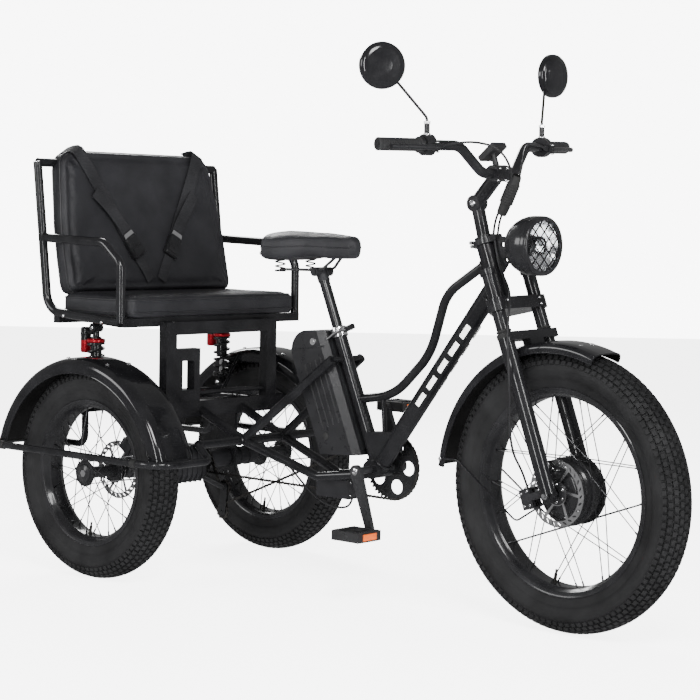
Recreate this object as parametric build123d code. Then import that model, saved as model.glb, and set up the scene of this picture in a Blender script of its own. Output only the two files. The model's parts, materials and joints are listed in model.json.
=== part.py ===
from build123d import *
import math
import os

# Electric tricycle with one steered front wheel and a padded bench over the
# two rear wheels. Millimetres. +X is forward, +Y is to the rider's left, +Z is
# up. It is built on a working frame whose origin lies on the ground below the
# middle of the rear axle, then moved so that the origin is on the ground below
# the middle of the whole outline.

# Wheels: stance and tyres
WHEELBASE = 1341.0
REAR_TRACK = 706.0
FRONT_TYRE_RADIUS = 353.0
REAR_TYRE_RADIUS = 297.0
TYRE_WIDTH = 100.0
TYRE_HEIGHT = 95.0
RIM_WIDTH = 78.0
RIM_DEPTH = 22.0
RIM_WALL = 3.0
# One row per point of half a tyre section, from the bead to the crown:
# share of the half width, share of the section height.
TYRE_SECTION_SHARES = [
    (0.80, 0.08),
    (0.98, 0.34),
    (1.00, 0.62),
    (0.90, 0.88),
    (0.55, 0.98),
]

# Spokes: square bars standing for round wire, laced in crossing pairs
SPOKE_THICKNESS = 3.0
SPOKES_PER_FLANGE = 18
SPOKE_LEAD_ANGLE = 62.0
SPOKE_PULL = 1.5

# Rear hubs, axle and brake
REAR_HUB_INWARD = 61.0
REAR_HUB_OUTWARD = 51.0
REAR_HUB_INNER = REAR_TRACK / 2 - REAR_HUB_INWARD
REAR_HUB_OUTER = REAR_TRACK / 2 + REAR_HUB_OUTWARD
REAR_CAP_LENGTH = 6.0
REAR_CAP_RADIUS = 25.0
REAR_HUB_RADIUS = 17.0
REAR_FLANGE_RADIUS = 37.0
FLANGE_THICKNESS = 5.0
SHAFT_RADIUS = 12.5
SHAFT_DEPTH = 40.0
BEARING_PLAY = 0.4
REAR_DISC_RADIUS = 82.0
REAR_DISC_GAP = 14.0
REAR_DISC_Y = REAR_HUB_INNER - REAR_DISC_GAP
DISC_THICKNESS = 2.5
DISC_SLOT = 13.0
AXLE_TUBE_RADIUS = 26.0
AXLE_TUBE_GAP = 26.0
AXLE_TUBE_END = REAR_HUB_INNER - AXLE_TUBE_GAP
DIFFERENTIAL_LENGTH = 118.0
DIFFERENTIAL_WIDTH = 150.0
DIFFERENTIAL_HEIGHT = 104.0
DIFFERENTIAL_Y = -62.0

# Front hub motor, disc and axle
MOTOR_RADIUS = 78.0
MOTOR_RIGHT = -8.0
MOTOR_LEFT = 44.0
MOTOR_NOSE_RADIUS = 50.0
MOTOR_NOSE = -36.0
FRONT_FLANGE_RADIUS = 86.0
FRONT_DISC_RADIUS = 84.0
FRONT_DISC_Y = -47.0
DISC_RING = 17.0
DISC_CENTRE = 30.0
DISC_ARMS = 6
DISC_ARM_WIDTH = 9.0
FRONT_AXLE_RADIUS = 7.0

# Steering axis, head tube and fork, measured along and ahead of the axis
HEAD_LEAN = 20.5
FORK_OFFSET = 46.0
REST_STEER = -4.1
HEAD_TUBE_RADIUS = 25.0
HEAD_TUBE_LENGTH = 156.0
STEERER_RADIUS = 17.0
HEADSET_GAP = 0.5
LEG_SPREAD = 78.0
SLIDER_RADIUS = 20.0
SLIDER_TOP = 410.0
STANCHION_RADIUS = 17.0
STANCHION_TOP = 566.0
STANCHION_CAP_RADIUS = 21.0
STANCHION_CAP_LENGTH = 14.0
CROWN_FOOT = 470.0
CROWN_HEIGHT = 32.0
HEAD_TUBE_FOOT = CROWN_FOOT + CROWN_HEIGHT + HEADSET_GAP
CROWN_DEPTH = 48.0
CROWN_REAR_RADIUS = 26.0
ARCH_WIDTH = 26.0
ARCH_HEIGHT = 22.0
DROPOUT_RADIUS = 21.0
DROPOUT_THICKNESS = 14.0

# Frame tubes in the middle plane, as (x, z)
BRACKET_X = 725.0
BRACKET_Z = 348.0
BRACKET_SHELL_RADIUS = 25.0
BRACKET_SHELL_WIDTH = 74.0
SEAT_TUBE_DIAMETER = 36.0
SEAT_TUBE_ANGLE = 67.3
SEAT_TUBE_LENGTH = 400.0
DOWN_TUBE_DIAMETER = 48.0
DOWN_TUBE_AT_HEAD = 54.0
TOP_TUBE_DIAMETER = 24.0
TOP_TUBE_AT_SEAT = 196.0
TOP_TUBE_AT_HEAD = 115.0
# One row per corner of the top tube: share of the way ahead and of the way up
# from the seat tube to the head tube.
TOP_TUBE_SHARES = [
    (0.290, 0.050),
    (0.568, 0.353),
    (0.679, 0.767),
]
TOP_TUBE_BENDS = [170.0, 190.0, 110.0]
STRUT_DIAMETER = 13.0
STRUT_AHEAD = 92.0
GUSSET_WIDTH = 40.0
GUSSET_UP_SEAT = 104.0
GUSSET_UP_DOWN = 132.0

# Rear frame under the bench
STAY_DIAMETER = 25.0
SEAT_STAY_TOP = 312.0
SEAT_STAY_TOP_Y = 60.0
SEAT_STAY_BOLT_RADIUS = 7.0
STAY_FOOT = (297.0, 82.0, 392.0)
CHAIN_STAY_DIP = (548.0, 46.0, 312.0)
CHAIN_STAY_FRONT = (700.0, 24.0, 332.0)
FRONT_BEAM_X = 118.0
FRONT_BEAM_Z = 468.0
FRONT_BEAM_HEIGHT = 44.0
FRONT_BEAM_DEPTH = 34.0
REAR_BEAM_X = -165.0
BEAM_TYRE_GAP = 35.0
BEAM_HALF_WIDTH = (REAR_TRACK - TYRE_WIDTH) / 2 - BEAM_TYRE_GAP
RAIL_DIAMETER = 30.0
CROSS_ROD_DIAMETER = 24.0
RAIL_Y = 205.0
AXLE_PLATE_THICKNESS = 10.0
AXLE_PLATE_Y = 150.0
AXLE_PLATE_MARGIN = 12.0

# Bench frame
BENCH_TUBE_DIAMETER = 25.0
BENCH_HALF_WIDTH = 353.0
BENCH_PEG_INNER = 280.0
# Corners of a side frame, as (x, z)
POST_TOP = (-272.0, 1159.0)
SEAT_REAR = (-221.0, 737.0)
SEAT_FRONT = (85.0, 716.0)
ARM_REAR = (-247.0, 945.0)
ARM_FRONT = (14.0, 936.0)
ARM_KNEE = (84.0, 880.0)
POST_BEND = 60.0
ARM_BENDS = [50.0, 45.0]
BENCH_STRIP_HEIGHT = 24.0
BENCH_STRIP_DEPTH = 25.0

# Portal under the front of the bench
PORTAL_X = 118.0
PORTAL_THICKNESS = 30.0
PORTAL_TOP = 716.0
PORTAL_BEAM_HEIGHT = 36.0
PORTAL_HALF_WIDTH = 223.0
PORTAL_LEG_WIDTH = 40.0
PORTAL_FOOT = 490.0
LOOP_WIDTH = 92.0
LOOP_HEIGHT = 150.0
LOOP_SLOT_WIDTH = 46.0
LOOP_SLOT_HEIGHT = 82.0
PORTAL_ROD_DIAMETER = 14.0
PORTAL_ROD_RISE = 22.0

# Bench cushions and belts
CUSHION_FRONT = 108.0
CUSHION_REAR = -190.0
CUSHION_THICKNESS = 62.0
CUSHION_HALF_WIDTH = 338.0
CUSHION_CORNER = 22.0
BACKREST_FOOT = (-150.0, 812.0)
BACKREST_LEAN = 12.0
BACKREST_HEIGHT = 400.0
BACKREST_THICKNESS = 66.0
BACKREST_HALF_WIDTH = 330.0
BACKREST_TOP_HALF_WIDTH = 262.0
BACKREST_CORNER = 60.0
BELT_WIDTH = 50.0
BELT_THICKNESS = 3.0
BELT_TOP_Y = 235.0
BELT_FOOT_Y = 45.0
BUCKLE_WIDTH = 62.0
BUCKLE_HEIGHT = 70.0
BUCKLE_THICKNESS = 20.0

# Rear fenders and guard bars
FENDER_RADIUS = 356.0
FENDER_CENTRE = (-24.0, 261.0)
FENDER_WIDTH = 136.0
FENDER_WALL = 4.0
FENDER_SKIRT = 42.0
FENDER_FRONT_ANGLE = 16.0
FENDER_REAR_ANGLE = 165.0
FENDER_STAY_PLACES = [-84.0, 78.0]
FENDER_STAY_DIAMETER = 12.0
GUARD_DIAMETER = 20.0
GUARD_REAR_X = -388.0
GUARD_FRONT_X = 345.0
GUARD_TYRE_GAP = 45.0
GUARD_IN_Y = (REAR_TRACK - TYRE_WIDTH) / 2 - GUARD_TYRE_GAP
GUARD_OUT_Y = (REAR_TRACK + TYRE_WIDTH) / 2 + GUARD_TYRE_GAP
GUARD_Z = 352.0
GUARD_BEND = 60.0

# Shock absorbers between the bench and the axle
SHOCK_X = -125.0
SHOCK_FOOT = 508.0
SHOCK_BODY_RADIUS = 17.0
SHOCK_SPRING_RADIUS = 26.0
SHOCK_FENDER_GAP = 4.0
SHOCK_Y = (REAR_TRACK - FENDER_WIDTH) / 2 - SHOCK_FENDER_GAP - SHOCK_SPRING_RADIUS
SHOCK_COILS = 7
SHOCK_ROD_RADIUS = 7.0
SHOCK_EYE_RADIUS = 13.0
RESERVOIR_RADIUS = 15.0
RESERVOIR_LENGTH = 74.0
RESERVOIR_GAP = 3.0

# Battery on the back of the seat tube
BATTERY_DEPTH = 126.0
BATTERY_WIDTH = 90.0
BATTERY_BASE_WIDTH = 56.0
BATTERY_GAP = 4.0
BATTERY_FRONT_SPAN = (46.0, 400.0)
BATTERY_REAR_SPAN = (90.0, 452.0)
BATTERY_CORNER = 55.0

# Controller box under the stays
CONTROLLER_LENGTH = 118.0
CONTROLLER_HEIGHT = 50.0
CONTROLLER_WIDTH = 64.0
CONTROLLER_REAR = 530.0
CONTROLLER_FOOT = 258.0
CONTROLLER_FINS = 9
CONTROLLER_FIN_DEPTH = 6.0

# Saddle
SEAT_POST_DIAMETER = 29.0
SEAT_POST_LENGTH = 150.0
SEAT_POST_FULL = 210.0
SEAT_CLAMP_HEIGHT = 26.0
SEAT_CLAMP_WALL = 3.5
SADDLE_NOSE_X = 642.0
SADDLE_LENGTH = 292.0
SADDLE_TOP = 974.0
SADDLE_BOTTOM = 898.0
SADDLE_HALF_WIDTH = 112.0
# One row per cross-section of the saddle: share of its length behind the nose,
# of its half width, and of its height for the underside and for the crown.
SADDLE_SECTION_SHARES = [
    (0.00, 0.10, 0.45, 0.70),
    (0.06, 0.24, 0.16, 0.90),
    (0.30, 0.34, 0.14, 0.95),
    (0.50, 0.56, 0.20, 0.95),
    (0.72, 0.96, 0.06, 0.98),
    (0.90, 1.00, 0.02, 1.00),
    (1.00, 0.72, 0.20, 0.84),
]
SADDLE_BASE_RISE = 14.0
RAIL_SPREAD = 24.0
RAIL_WIRE = 8.0
SADDLE_SPRING_RADIUS = 15.0
SADDLE_SPRING_Y = 62.0
SADDLE_SPRING_COILS = 4
SADDLE_SPRING_LENGTH = 46.0
SADDLE_SPRING_PLACE = 60.0

# Crank, chainring, pedals
CHAIN_Y = 58.0
CHAINRING_RADIUS = 92.0
CHAINRING_THICKNESS = 3.0
CHAINRING_TEETH = 44
TOOTH_DEPTH = 6.0
CHAINRING_HOLES = 5
WINDOW_RADIUS = 20.0
WINDOW_PLACE = 56.0
CRANK_LENGTH = 165.0
CRANK_Y = 92.0
CRANK_ANGLE = -71.0
CRANK_WIDTH = 21.0
CRANK_THICKNESS = 13.0
CRANK_BOSS_RADIUS = 17.0
SPINDLE_RADIUS = 10.0
PEDAL_LENGTH = 92.0
PEDAL_WIDTH = 90.0
PEDAL_HEIGHT = 26.0
PEDAL_GAP = 7.0
PEDAL_PIN_RADIUS = 6.0

# Chain, sprockets and derailleur
SPROCKET_RADII = [36.0, 40.0, 44.0, 49.0, 54.0]
SPROCKET_STEP = 5.0
SPROCKET_THICKNESS = 2.0
CHAIN_PITCH = 12.7
CHAIN_HEIGHT = 8.0
CHAIN_INNER_WIDTH = 4.6
CHAIN_PLATE = 1.2
CHAIN_PIN_RADIUS = 2.6
CHAIN_FREE_LINKS = 3
JOCKEY_RADIUS = 19.0
JOCKEY_THICKNESS = 2.4
JOCKEY_UPPER = (92.0, 225.0)
JOCKEY_LOWER = (84.0, 152.0)
CAGE_RADIUS = 13.0
CAGE_PLATE = 1.6
CAGE_CLEARANCE = 0.7
DERAILLEUR_ARM_RADIUS = 9.0
DERAILLEUR_FOOT = (20.0, 263.0)

# Handlebar, stem, grips, levers
BAR_DIAMETER = 26.0
BAR_CLAMP = (1106.0, 1136.0)
BAR_HALF_WIDTH = 362.0
BAR_RISE = 70.0
BAR_SWEEP = 76.0
# One row per point of half the bar: share of its sweep, half width and rise.
BAR_SHARES = [
    (0.00, 0.171, 0.00),
    (0.24, 0.354, 0.97),
    (1.00, 1.000, 1.00),
]
BAR_BENDS = [38.0, 45.0]
GRIP_LENGTH = 122.0
GRIP_RADIUS = 16.5
STEM_RADIUS = 17.0
STEM_TOP_LENGTH = 22.0
STEM_KINK = (1036.0, 1060.0)
STEM_CLAMP_WIDTH = 52.0
STEM_CLAMP_RADIUS = 21.0
LEVER_AT_SHARE = 0.40
LEVER_LENGTH = 128.0
LEVER_REACH = 36.0
LEVER_DROP = 6.0
LEVER_BLADE_RADIUS = 6.5
LEVER_BODY_RADIUS = 11.0

# Mirrors
MIRROR_RADIUS = 57.0
MIRROR_DEPTH = 26.0
MIRROR_BACK_RADIUS = 40.0
MIRROR_X = 1018.0
MIRROR_Y = 330.0
MIRROR_Z = 1396.0
MIRROR_FACINGS = [3.0, -29.0]
MIRROR_STEM_DIAMETER = 7.0
MIRROR_FOOT_RISE = 40.0

# Headlight and display
LAMP_CENTRE = (1256.0, 956.0)
LAMP_RADIUS = 74.0
LAMP_DEPTH = 102.0
# One row per corner of the bowl's outside: share of the depth, of the radius.
BOWL_SHARES = [
    (0.82, 0.62),
    (0.60, 0.86),
    (0.38, 0.96),
]
LAMP_NECK_RADIUS = 20.0
LAMP_RING = 5.0
LAMP_RING_DEPTH = 22.0
LENS_THICKNESS = 6.0
LAMP_BRACKET_THICKNESS = 5.0
LAMP_BRACKET_GAP = 6.0
LAMP_BRACKET_DROP = 84.0
LAMP_CLIP_LENGTH = 16.0
LAMP_CLIP_WIDTH = 28.0
LAMP_CLIP_HEIGHT = 14.0
LAMP_HOLE_RADIUS = 7.0
DISPLAY_LENGTH = 62.0
DISPLAY_WIDTH = 48.0
DISPLAY_THICKNESS = 16.0
DISPLAY_TILT = 38.0
DISPLAY_CENTRE = (1086.0, 1190.0)

# Front fender
FRONT_FENDER_RADIUS = 380.0
FRONT_FENDER_CENTRE = (-15.0, -8.0)
FRONT_FENDER_WIDTH = 112.0
FRONT_FENDER_WALL = 4.0
FRONT_FENDER_SKIRT = 26.0
FRONT_FENDER_FRONT_ANGLE = 70.0
FRONT_FENDER_REAR_ANGLE = 174.0

# Fender stays of the front wheel, one row per corner of the left wire, as (x, y, z)
FENDER_WIRE_CORNERS = [
    (968.0, 57.0, 402.0),
    (1026.0, 60.0, 406.0),
    (1225.0, 62.0, 271.0),
    (1334.0, 68.2, 337.0),
]
FENDER_WIRE_DIAMETER = 5.0
FENDER_WIRE_BEND = 16.0

# Cables, as routes of (x, y, z); a lever's cable is given on the left
CABLE_DIAMETER = 6.0
CABLE_BEND_SHARE = 0.45
LEVER_CABLE = [
    (1090.0, 212.0, 1200.5),
    (1104.0, 160.0, 1210.0),
    (1120.0, 104.0, 1214.0),
    (1150.0, 52.0, 1200.0),
    (1166.0, 20.0, 1152.0),
    (1158.0, 10.0, 1098.0),
    (1128.0, 8.6, 1056.0),
    (1102.0, 8.4, 1018.0),
    (1098.6, 8.4, 981.4),
]
BRAKE_CABLE = [
    (1103.7, -8.4, 967.5),
    (1112.0, -10.0, 930.0),
    (1130.0, -16.0, 892.0),
    (1166.0, -34.0, 862.0),
    (1204.0, -66.0, 834.0),
    (1226.0, -98.0, 790.0),
    (1234.0, -112.0, 735.0),
    (1240.0, -114.0, 675.0),
    (1244.0, -114.0, 615.0),
    (1244.0, -112.0, 555.0),
    (1241.0, -108.0, 497.0),
    (1238.0, -90.0, 444.0),
    (1234.0, -62.0, 412.0),
    (1235.0, -47.6, 390.0),
    (1250.4, -47.6, 355.7),
]
FRAME_CABLE = [
    (297.0, 0.0, 379.2),
    (304.0, 0.0, 352.0),
    (345.0, 0.0, 334.0),
    (402.0, 0.0, 322.0),
    (440.0, 0.0, 288.0),
    (490.0, 0.0, 252.0),
    (545.0, 0.0, 229.0),
    (596.0, 0.0, 226.0),
    (626.0, 0.0, 236.0),
    (634.0, 0.0, 257.7),
]

# Cuts run past their faces by this much
OVERRUN = 5.0
# Faces of two pieces that would rub are kept this far apart
SEAT_GAP = 0.3

# Rays of the steering axis
LEAN = math.radians(HEAD_LEAN)
AXIS_UP = Vector(-math.sin(LEAN), 0, math.cos(LEAN))
AXIS_AHEAD = Vector(math.cos(LEAN), 0, math.sin(LEAN))
FRONT_AXLE = Vector(WHEELBASE, 0, FRONT_TYRE_RADIUS)
AXIS_FOOT = FRONT_AXLE - AXIS_AHEAD * FORK_OFFSET
# Local frame of the steering: x ahead of the axis, y left, z up along it
STEER = Plane(origin=AXIS_FOOT, x_dir=AXIS_AHEAD, z_dir=AXIS_UP)
HEAD_TUBE_TOP = HEAD_TUBE_FOOT + HEAD_TUBE_LENGTH
# Points of the left half of the bar
BAR_POINTS = [
    Vector(BAR_CLAMP[0] - BAR_SWEEP * sweep, BAR_HALF_WIDTH * out, BAR_CLAMP[1] + BAR_RISE * rise)
    for sweep, out, rise in BAR_SHARES
]
# Cylinders stand on their foot rather than on their middle
STANDING = (Align.CENTER, Align.CENTER, Align.MIN)

BRACKET = Vector(BRACKET_X, 0, BRACKET_Z)
SEAT_RAD = math.radians(SEAT_TUBE_ANGLE)
SEAT_UP = Vector(-math.cos(SEAT_RAD), 0, math.sin(SEAT_RAD))
# Local frame of the seat tube: x behind the tube, y right, z up along it
SEAT_LINE = Plane(origin=BRACKET, x_dir=Vector(-SEAT_UP.Z, 0, SEAT_UP.X), z_dir=SEAT_UP)


def on_steer(ahead, left, up):
    """Point given ahead of, left of and along the steering axis."""
    return STEER.from_local_coords(Vector(ahead, left, up))


def on_seat_line(behind, right, up):
    """Point given behind, right of and up the seat tube from the bracket."""
    return SEAT_LINE.from_local_coords(Vector(behind, right, up))


def rod(start, end, radius):
    """Straight round bar between two points."""
    start = Vector(*start)
    end = Vector(*end)
    along = end - start
    section = Plane(origin=start, z_dir=along) * Circle(radius)
    return extrude(section, amount=along.length, dir=along.normalized())


def bent_tube(points, bends, diameter):
    """Round tube along straight runs joined by one arc at each corner."""
    path = FilletPolyline(*points, radius=bends)
    start = Plane(origin=path @ 0, z_dir=path % 0)
    return sweep(start * Circle(diameter / 2), path=path)


def ring(outer, inner, low, high):
    """Collar round the Y axis between two places on it."""
    section = Plane.XY * Polygon((inner, low), (outer, low), (outer, high), (inner, high), align=None)
    return revolve(section, axis=Axis.Y)


def disc(radius, low, high):
    """Round plate round the Y axis between two places on it."""
    section = Plane.XY * Polygon((0, low), (radius, low), (radius, high), (0, high), align=None)
    return revolve(section, axis=Axis.Y)


def block(low, high):
    """Box between two opposite corners."""
    size = Vector(*high) - Vector(*low)
    middle = (Vector(*high) + Vector(*low)) / 2
    return Pos(middle) * Box(size.X, size.Y, size.Z)


# Wheels, built round the origin with the axle along Y
def tyre(radius):
    """Tyre ring that fills the rim's well."""
    flange = radius - TYRE_HEIGHT
    half = [(flange - RIM_DEPTH + RIM_WALL, RIM_WIDTH / 4)]
    half += [(flange - RIM_DEPTH / 2 + RIM_WALL, RIM_WIDTH / 2 - RIM_WALL)]
    half += [(flange, RIM_WIDTH / 2 - RIM_WALL)]
    for across_share, height_share in TYRE_SECTION_SHARES:
        half += [(flange + TYRE_HEIGHT * height_share, TYRE_WIDTH / 2 * across_share)]
    crown = [(radius, 0)]
    other = [(r, -y) for r, y in reversed(half)]
    section = Plane.XY * Polygon(*half, *crown, *other, align=None)
    return revolve(section, axis=Axis.Y)


def rim(radius):
    """Single-wall rim, a wide shallow channel."""
    flange = radius - TYRE_HEIGHT
    half = [
        (flange - RIM_DEPTH, RIM_WIDTH / 4),
        (flange - RIM_DEPTH / 2, RIM_WIDTH / 2),
        (flange, RIM_WIDTH / 2),
        (flange, RIM_WIDTH / 2 - RIM_WALL),
        (flange - RIM_DEPTH / 2 + RIM_WALL, RIM_WIDTH / 2 - RIM_WALL),
        (flange - RIM_DEPTH + RIM_WALL, RIM_WIDTH / 4),
    ]
    other = [(r, -y) for r, y in reversed(half)]
    section = Plane.XY * Polygon(*half, *other, align=None)
    return revolve(section, axis=Axis.Y)


def spokes(rim_radius, flange_radius, flange_places):
    """Crossing spokes from the hub's two flanges to the rim."""
    bars = []
    for place in flange_places:
        for count in range(SPOKES_PER_FLANGE):
            turn = 360 / SPOKES_PER_FLANGE * count
            lead = SPOKE_LEAD_ANGLE if count % 2 else -SPOKE_LEAD_ANGLE
            inner = math.radians(turn + lead)
            outer = math.radians(turn)
            side = math.copysign(RIM_WIDTH / 6, place - sum(flange_places) / 2)
            foot = Vector(flange_radius * math.cos(inner), place, flange_radius * math.sin(inner))
            head = Vector(rim_radius * math.cos(outer), side, rim_radius * math.sin(outer))
            along = head - foot
            section = Plane(origin=foot, z_dir=along) * Rectangle(SPOKE_THICKNESS, SPOKE_THICKNESS)
            bars += [extrude(section, amount=along.length, dir=along.normalized())]
    return bars


def laced_hub(hub, rim_radius, flange_radius, flange_places):
    """Hub with its spokes, cut off where they meet the rim."""
    reach = rim_radius - RIM_DEPTH
    low = min(flange_places) - TYRE_WIDTH
    high = max(flange_places) + TYRE_WIDTH
    bars = spokes(reach + SPOKE_PULL, flange_radius - FLANGE_THICKNESS, flange_places)
    laced = hub.fuse(*bars)
    return laced & disc(reach, low, high)


def brake_disc(radius, place):
    """Brake rotor: friction ring, arms and centre, in one sheet."""
    low = place - DISC_THICKNESS / 2
    high = place + DISC_THICKNESS / 2
    rotor = ring(radius, radius - DISC_RING, low, high)
    rotor += disc(DISC_CENTRE, low, high)
    reach = radius - DISC_RING / 2
    arm = block((0, low, -DISC_ARM_WIDTH / 2), (reach, high, DISC_ARM_WIDTH / 2))
    for count in range(DISC_ARMS):
        rotor += Rot(0, 360 / DISC_ARMS * count, 0) * arm
    return rotor


def rear_hub(side):
    """Rear hub and half shaft; side is 1 on the left and -1 on the right."""
    middle = REAR_TRACK / 2
    low = REAR_HUB_INNER - middle
    high = REAR_HUB_OUTER - middle
    hub = disc(REAR_HUB_RADIUS, low, high)
    hub += disc(REAR_FLANGE_RADIUS, low, low + FLANGE_THICKNESS)
    hub += disc(REAR_FLANGE_RADIUS, high - FLANGE_THICKNESS, high)
    hub += disc(REAR_CAP_RADIUS, high, high + REAR_CAP_LENGTH)
    hub += disc(SHAFT_RADIUS, low - SHAFT_DEPTH, low)
    places = (low + FLANGE_THICKNESS / 2, high - FLANGE_THICKNESS / 2)
    laced = laced_hub(hub, REAR_TYRE_RADIUS - TYRE_HEIGHT, REAR_FLANGE_RADIUS, places)
    return laced if side > 0 else mirror(laced, about=Plane.XZ)


def front_hub():
    """Hub motor: a drum with one conical cover on the disc's side."""
    drum = Plane.XY * Polygon(
        (0, MOTOR_NOSE),
        (MOTOR_NOSE_RADIUS, MOTOR_NOSE),
        (MOTOR_RADIUS, MOTOR_RIGHT),
        (MOTOR_RADIUS, MOTOR_LEFT),
        (0, MOTOR_LEFT),
        align=None,
    )
    hub = revolve(drum, axis=Axis.Y)
    places = (MOTOR_RIGHT + FLANGE_THICKNESS, MOTOR_LEFT - FLANGE_THICKNESS)
    for place in places:
        hub += disc(FRONT_FLANGE_RADIUS, place - FLANGE_THICKNESS / 2, place + FLANGE_THICKNESS / 2)
    hub += disc(DISC_CENTRE - DISC_ARM_WIDTH, FRONT_DISC_Y + DISC_THICKNESS / 2, MOTOR_NOSE)
    laced = laced_hub(hub, FRONT_TYRE_RADIUS - TYRE_HEIGHT, FRONT_FLANGE_RADIUS, places)
    return laced - disc(FRONT_AXLE_RADIUS + BEARING_PLAY, -TYRE_WIDTH, TYRE_WIDTH)


def front_disc():
    """Front rotor with its axle hole."""
    return brake_disc(FRONT_DISC_RADIUS, FRONT_DISC_Y) - disc(
        FRONT_AXLE_RADIUS + BEARING_PLAY, -TYRE_WIDTH, TYRE_WIDTH
    )


def rear_disc():
    """Right rear rotor and the sleeve that carries it on the half shaft."""
    middle = REAR_TRACK / 2
    place = middle - REAR_DISC_Y
    rotor = brake_disc(REAR_DISC_RADIUS, place)
    rotor += disc(SHAFT_RADIUS + RIM_WALL * 2, middle - REAR_HUB_INNER, place)
    return rotor - disc(SHAFT_RADIUS, 0, middle)


# Steering pieces, in the steering's own frame
def fork_crown():
    """Crown, steerer and upper tubes of the fork."""
    plan = Circle(CROWN_REAR_RADIUS)
    for side in (1, -1):
        plan += Pos(FORK_OFFSET, side * LEG_SPREAD) * Circle(CROWN_DEPTH / 2)
    crown = extrude(Plane.XY.offset(CROWN_FOOT) * make_hull(plan.edges()), amount=CROWN_HEIGHT)
    crown += Pos(0, 0, CROWN_FOOT) * Cylinder(
        STEERER_RADIUS, HEAD_TUBE_TOP - CROWN_FOOT + STEM_TOP_LENGTH, align=STANDING
    )
    for side in (1, -1):
        leg = Pos(FORK_OFFSET, side * LEG_SPREAD, SLIDER_TOP)
        crown += leg * Cylinder(STANCHION_RADIUS, STANCHION_TOP - SLIDER_TOP, align=STANDING)
        cap = Pos(FORK_OFFSET, side * LEG_SPREAD, STANCHION_TOP)
        crown += cap * Cylinder(STANCHION_CAP_RADIUS, STANCHION_CAP_LENGTH, align=STANDING)
    return STEER * crown


def fork_sliders():
    """Sliders, the arch that joins them, dropouts and the fixed axle."""
    pieces = []
    for side in (1, -1):
        leg = Pos(FORK_OFFSET, side * LEG_SPREAD, 0)
        pieces += [leg * Cylinder(SLIDER_RADIUS, SLIDER_TOP, align=STANDING)]
        pieces += [leg * Rot(90, 0, 0) * Cylinder(DROPOUT_RADIUS, DROPOUT_THICKNESS)]
    arch_ahead = FORK_OFFSET + SLIDER_RADIUS
    arch = Pos(arch_ahead, 0, SLIDER_TOP - ARCH_HEIGHT / 2) * Box(
        ARCH_WIDTH, (LEG_SPREAD + STANCHION_RADIUS / 2) * 2, ARCH_HEIGHT
    )
    axle = Pos(FORK_OFFSET, 0, 0) * Rot(90, 0, 0) * Cylinder(FRONT_AXLE_RADIUS, LEG_SPREAD * 2)
    tab = Pos(arch_ahead, 0, SLIDER_TOP - ARCH_HEIGHT) * Box(ARCH_WIDTH, ARCH_WIDTH * 2, ARCH_HEIGHT * 2)
    centre_x, centre_z = FRONT_FENDER_CENTRE
    under = Pos(WHEELBASE + centre_x, 0, FRONT_TYRE_RADIUS + centre_z) * disc(
        FRONT_FENDER_RADIUS, -TYRE_WIDTH, TYRE_WIDTH
    )
    sliders = pieces[0].fuse(*pieces[1:], arch, axle, tab)
    axle_side = STEER.location.inverse() * under
    sliders -= axle_side & (Pos(0, 0, SLIDER_TOP) * Box(SLIDER_TOP, LEG_SPREAD, SLIDER_TOP))
    for side in (1, -1):
        bore = Pos(FORK_OFFSET, side * LEG_SPREAD, SLIDER_TOP - SEAT_GAP)
        sliders -= bore * Cylinder(STANCHION_RADIUS, ARCH_HEIGHT * 2, align=STANDING)
    return STEER * sliders


def front_fender():
    """Fender over the front tyre, an arched channel with side skirts."""
    shell = arched_channel(
        FRONT_FENDER_RADIUS,
        FRONT_FENDER_WIDTH,
        FRONT_FENDER_WALL,
        FRONT_FENDER_SKIRT,
        FRONT_FENDER_FRONT_ANGLE,
        FRONT_FENDER_REAR_ANGLE,
    )
    centre_x, centre_z = FRONT_FENDER_CENTRE
    fender = Pos(WHEELBASE + centre_x, 0, FRONT_TYRE_RADIUS + centre_z) * shell
    for side in (1, -1):
        route = [(x, y * side, z) for x, y, z in FENDER_WIRE_CORNERS]
        fender += bent_tube(route, [FENDER_WIRE_BEND] * 2, FENDER_WIRE_DIAMETER)
    return fender


def cable(route):
    """Cable along a route, its arcs as large as the runs beside them allow."""
    points = [Vector(*point) for point in route]
    radii = []
    for before, corner, after in zip(points, points[1:], points[2:]):
        shorter = min((corner - before).length, (after - corner).length)
        turn = math.radians((corner - before).get_angle(after - corner))
        radii += [shorter * CABLE_BEND_SHARE / math.tan(turn / 2)]
    print("cable arcs", [round(radius) for radius in radii])
    return bent_tube(route, radii, CABLE_DIAMETER)


def lever_cable(side):
    """Cable from a brake lever to the clip on the lamp's bracket."""
    return cable([(x, y * side, z) for x, y, z in LEVER_CABLE]) - levers() - headlight()


def arched_channel(radius, width, wall, skirt, start_angle, end_angle):
    """Channel section swung round the Y axis from one angle to another."""
    half = width / 2
    outline = [
        (radius - skirt, half),
        (radius - skirt / 3, half),
        (radius, half - skirt / 2),
        (radius, skirt / 2 - half),
        (radius - skirt / 3, -half),
        (radius - skirt, -half),
        (radius - skirt, wall - half),
        (radius - skirt / 3 - wall / 2, wall - half),
        (radius - wall, skirt / 2 - half + wall / 2),
        (radius - wall, half - skirt / 2 - wall / 2),
        (radius - skirt / 3 - wall / 2, half - wall),
        (radius - skirt, half - wall),
    ]
    section = Plane.XY * Polygon(*outline, align=None)
    swung = revolve(section, axis=Axis.Y, revolution_arc=end_angle - start_angle)
    return Rot(0, -end_angle, 0) * swung


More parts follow.
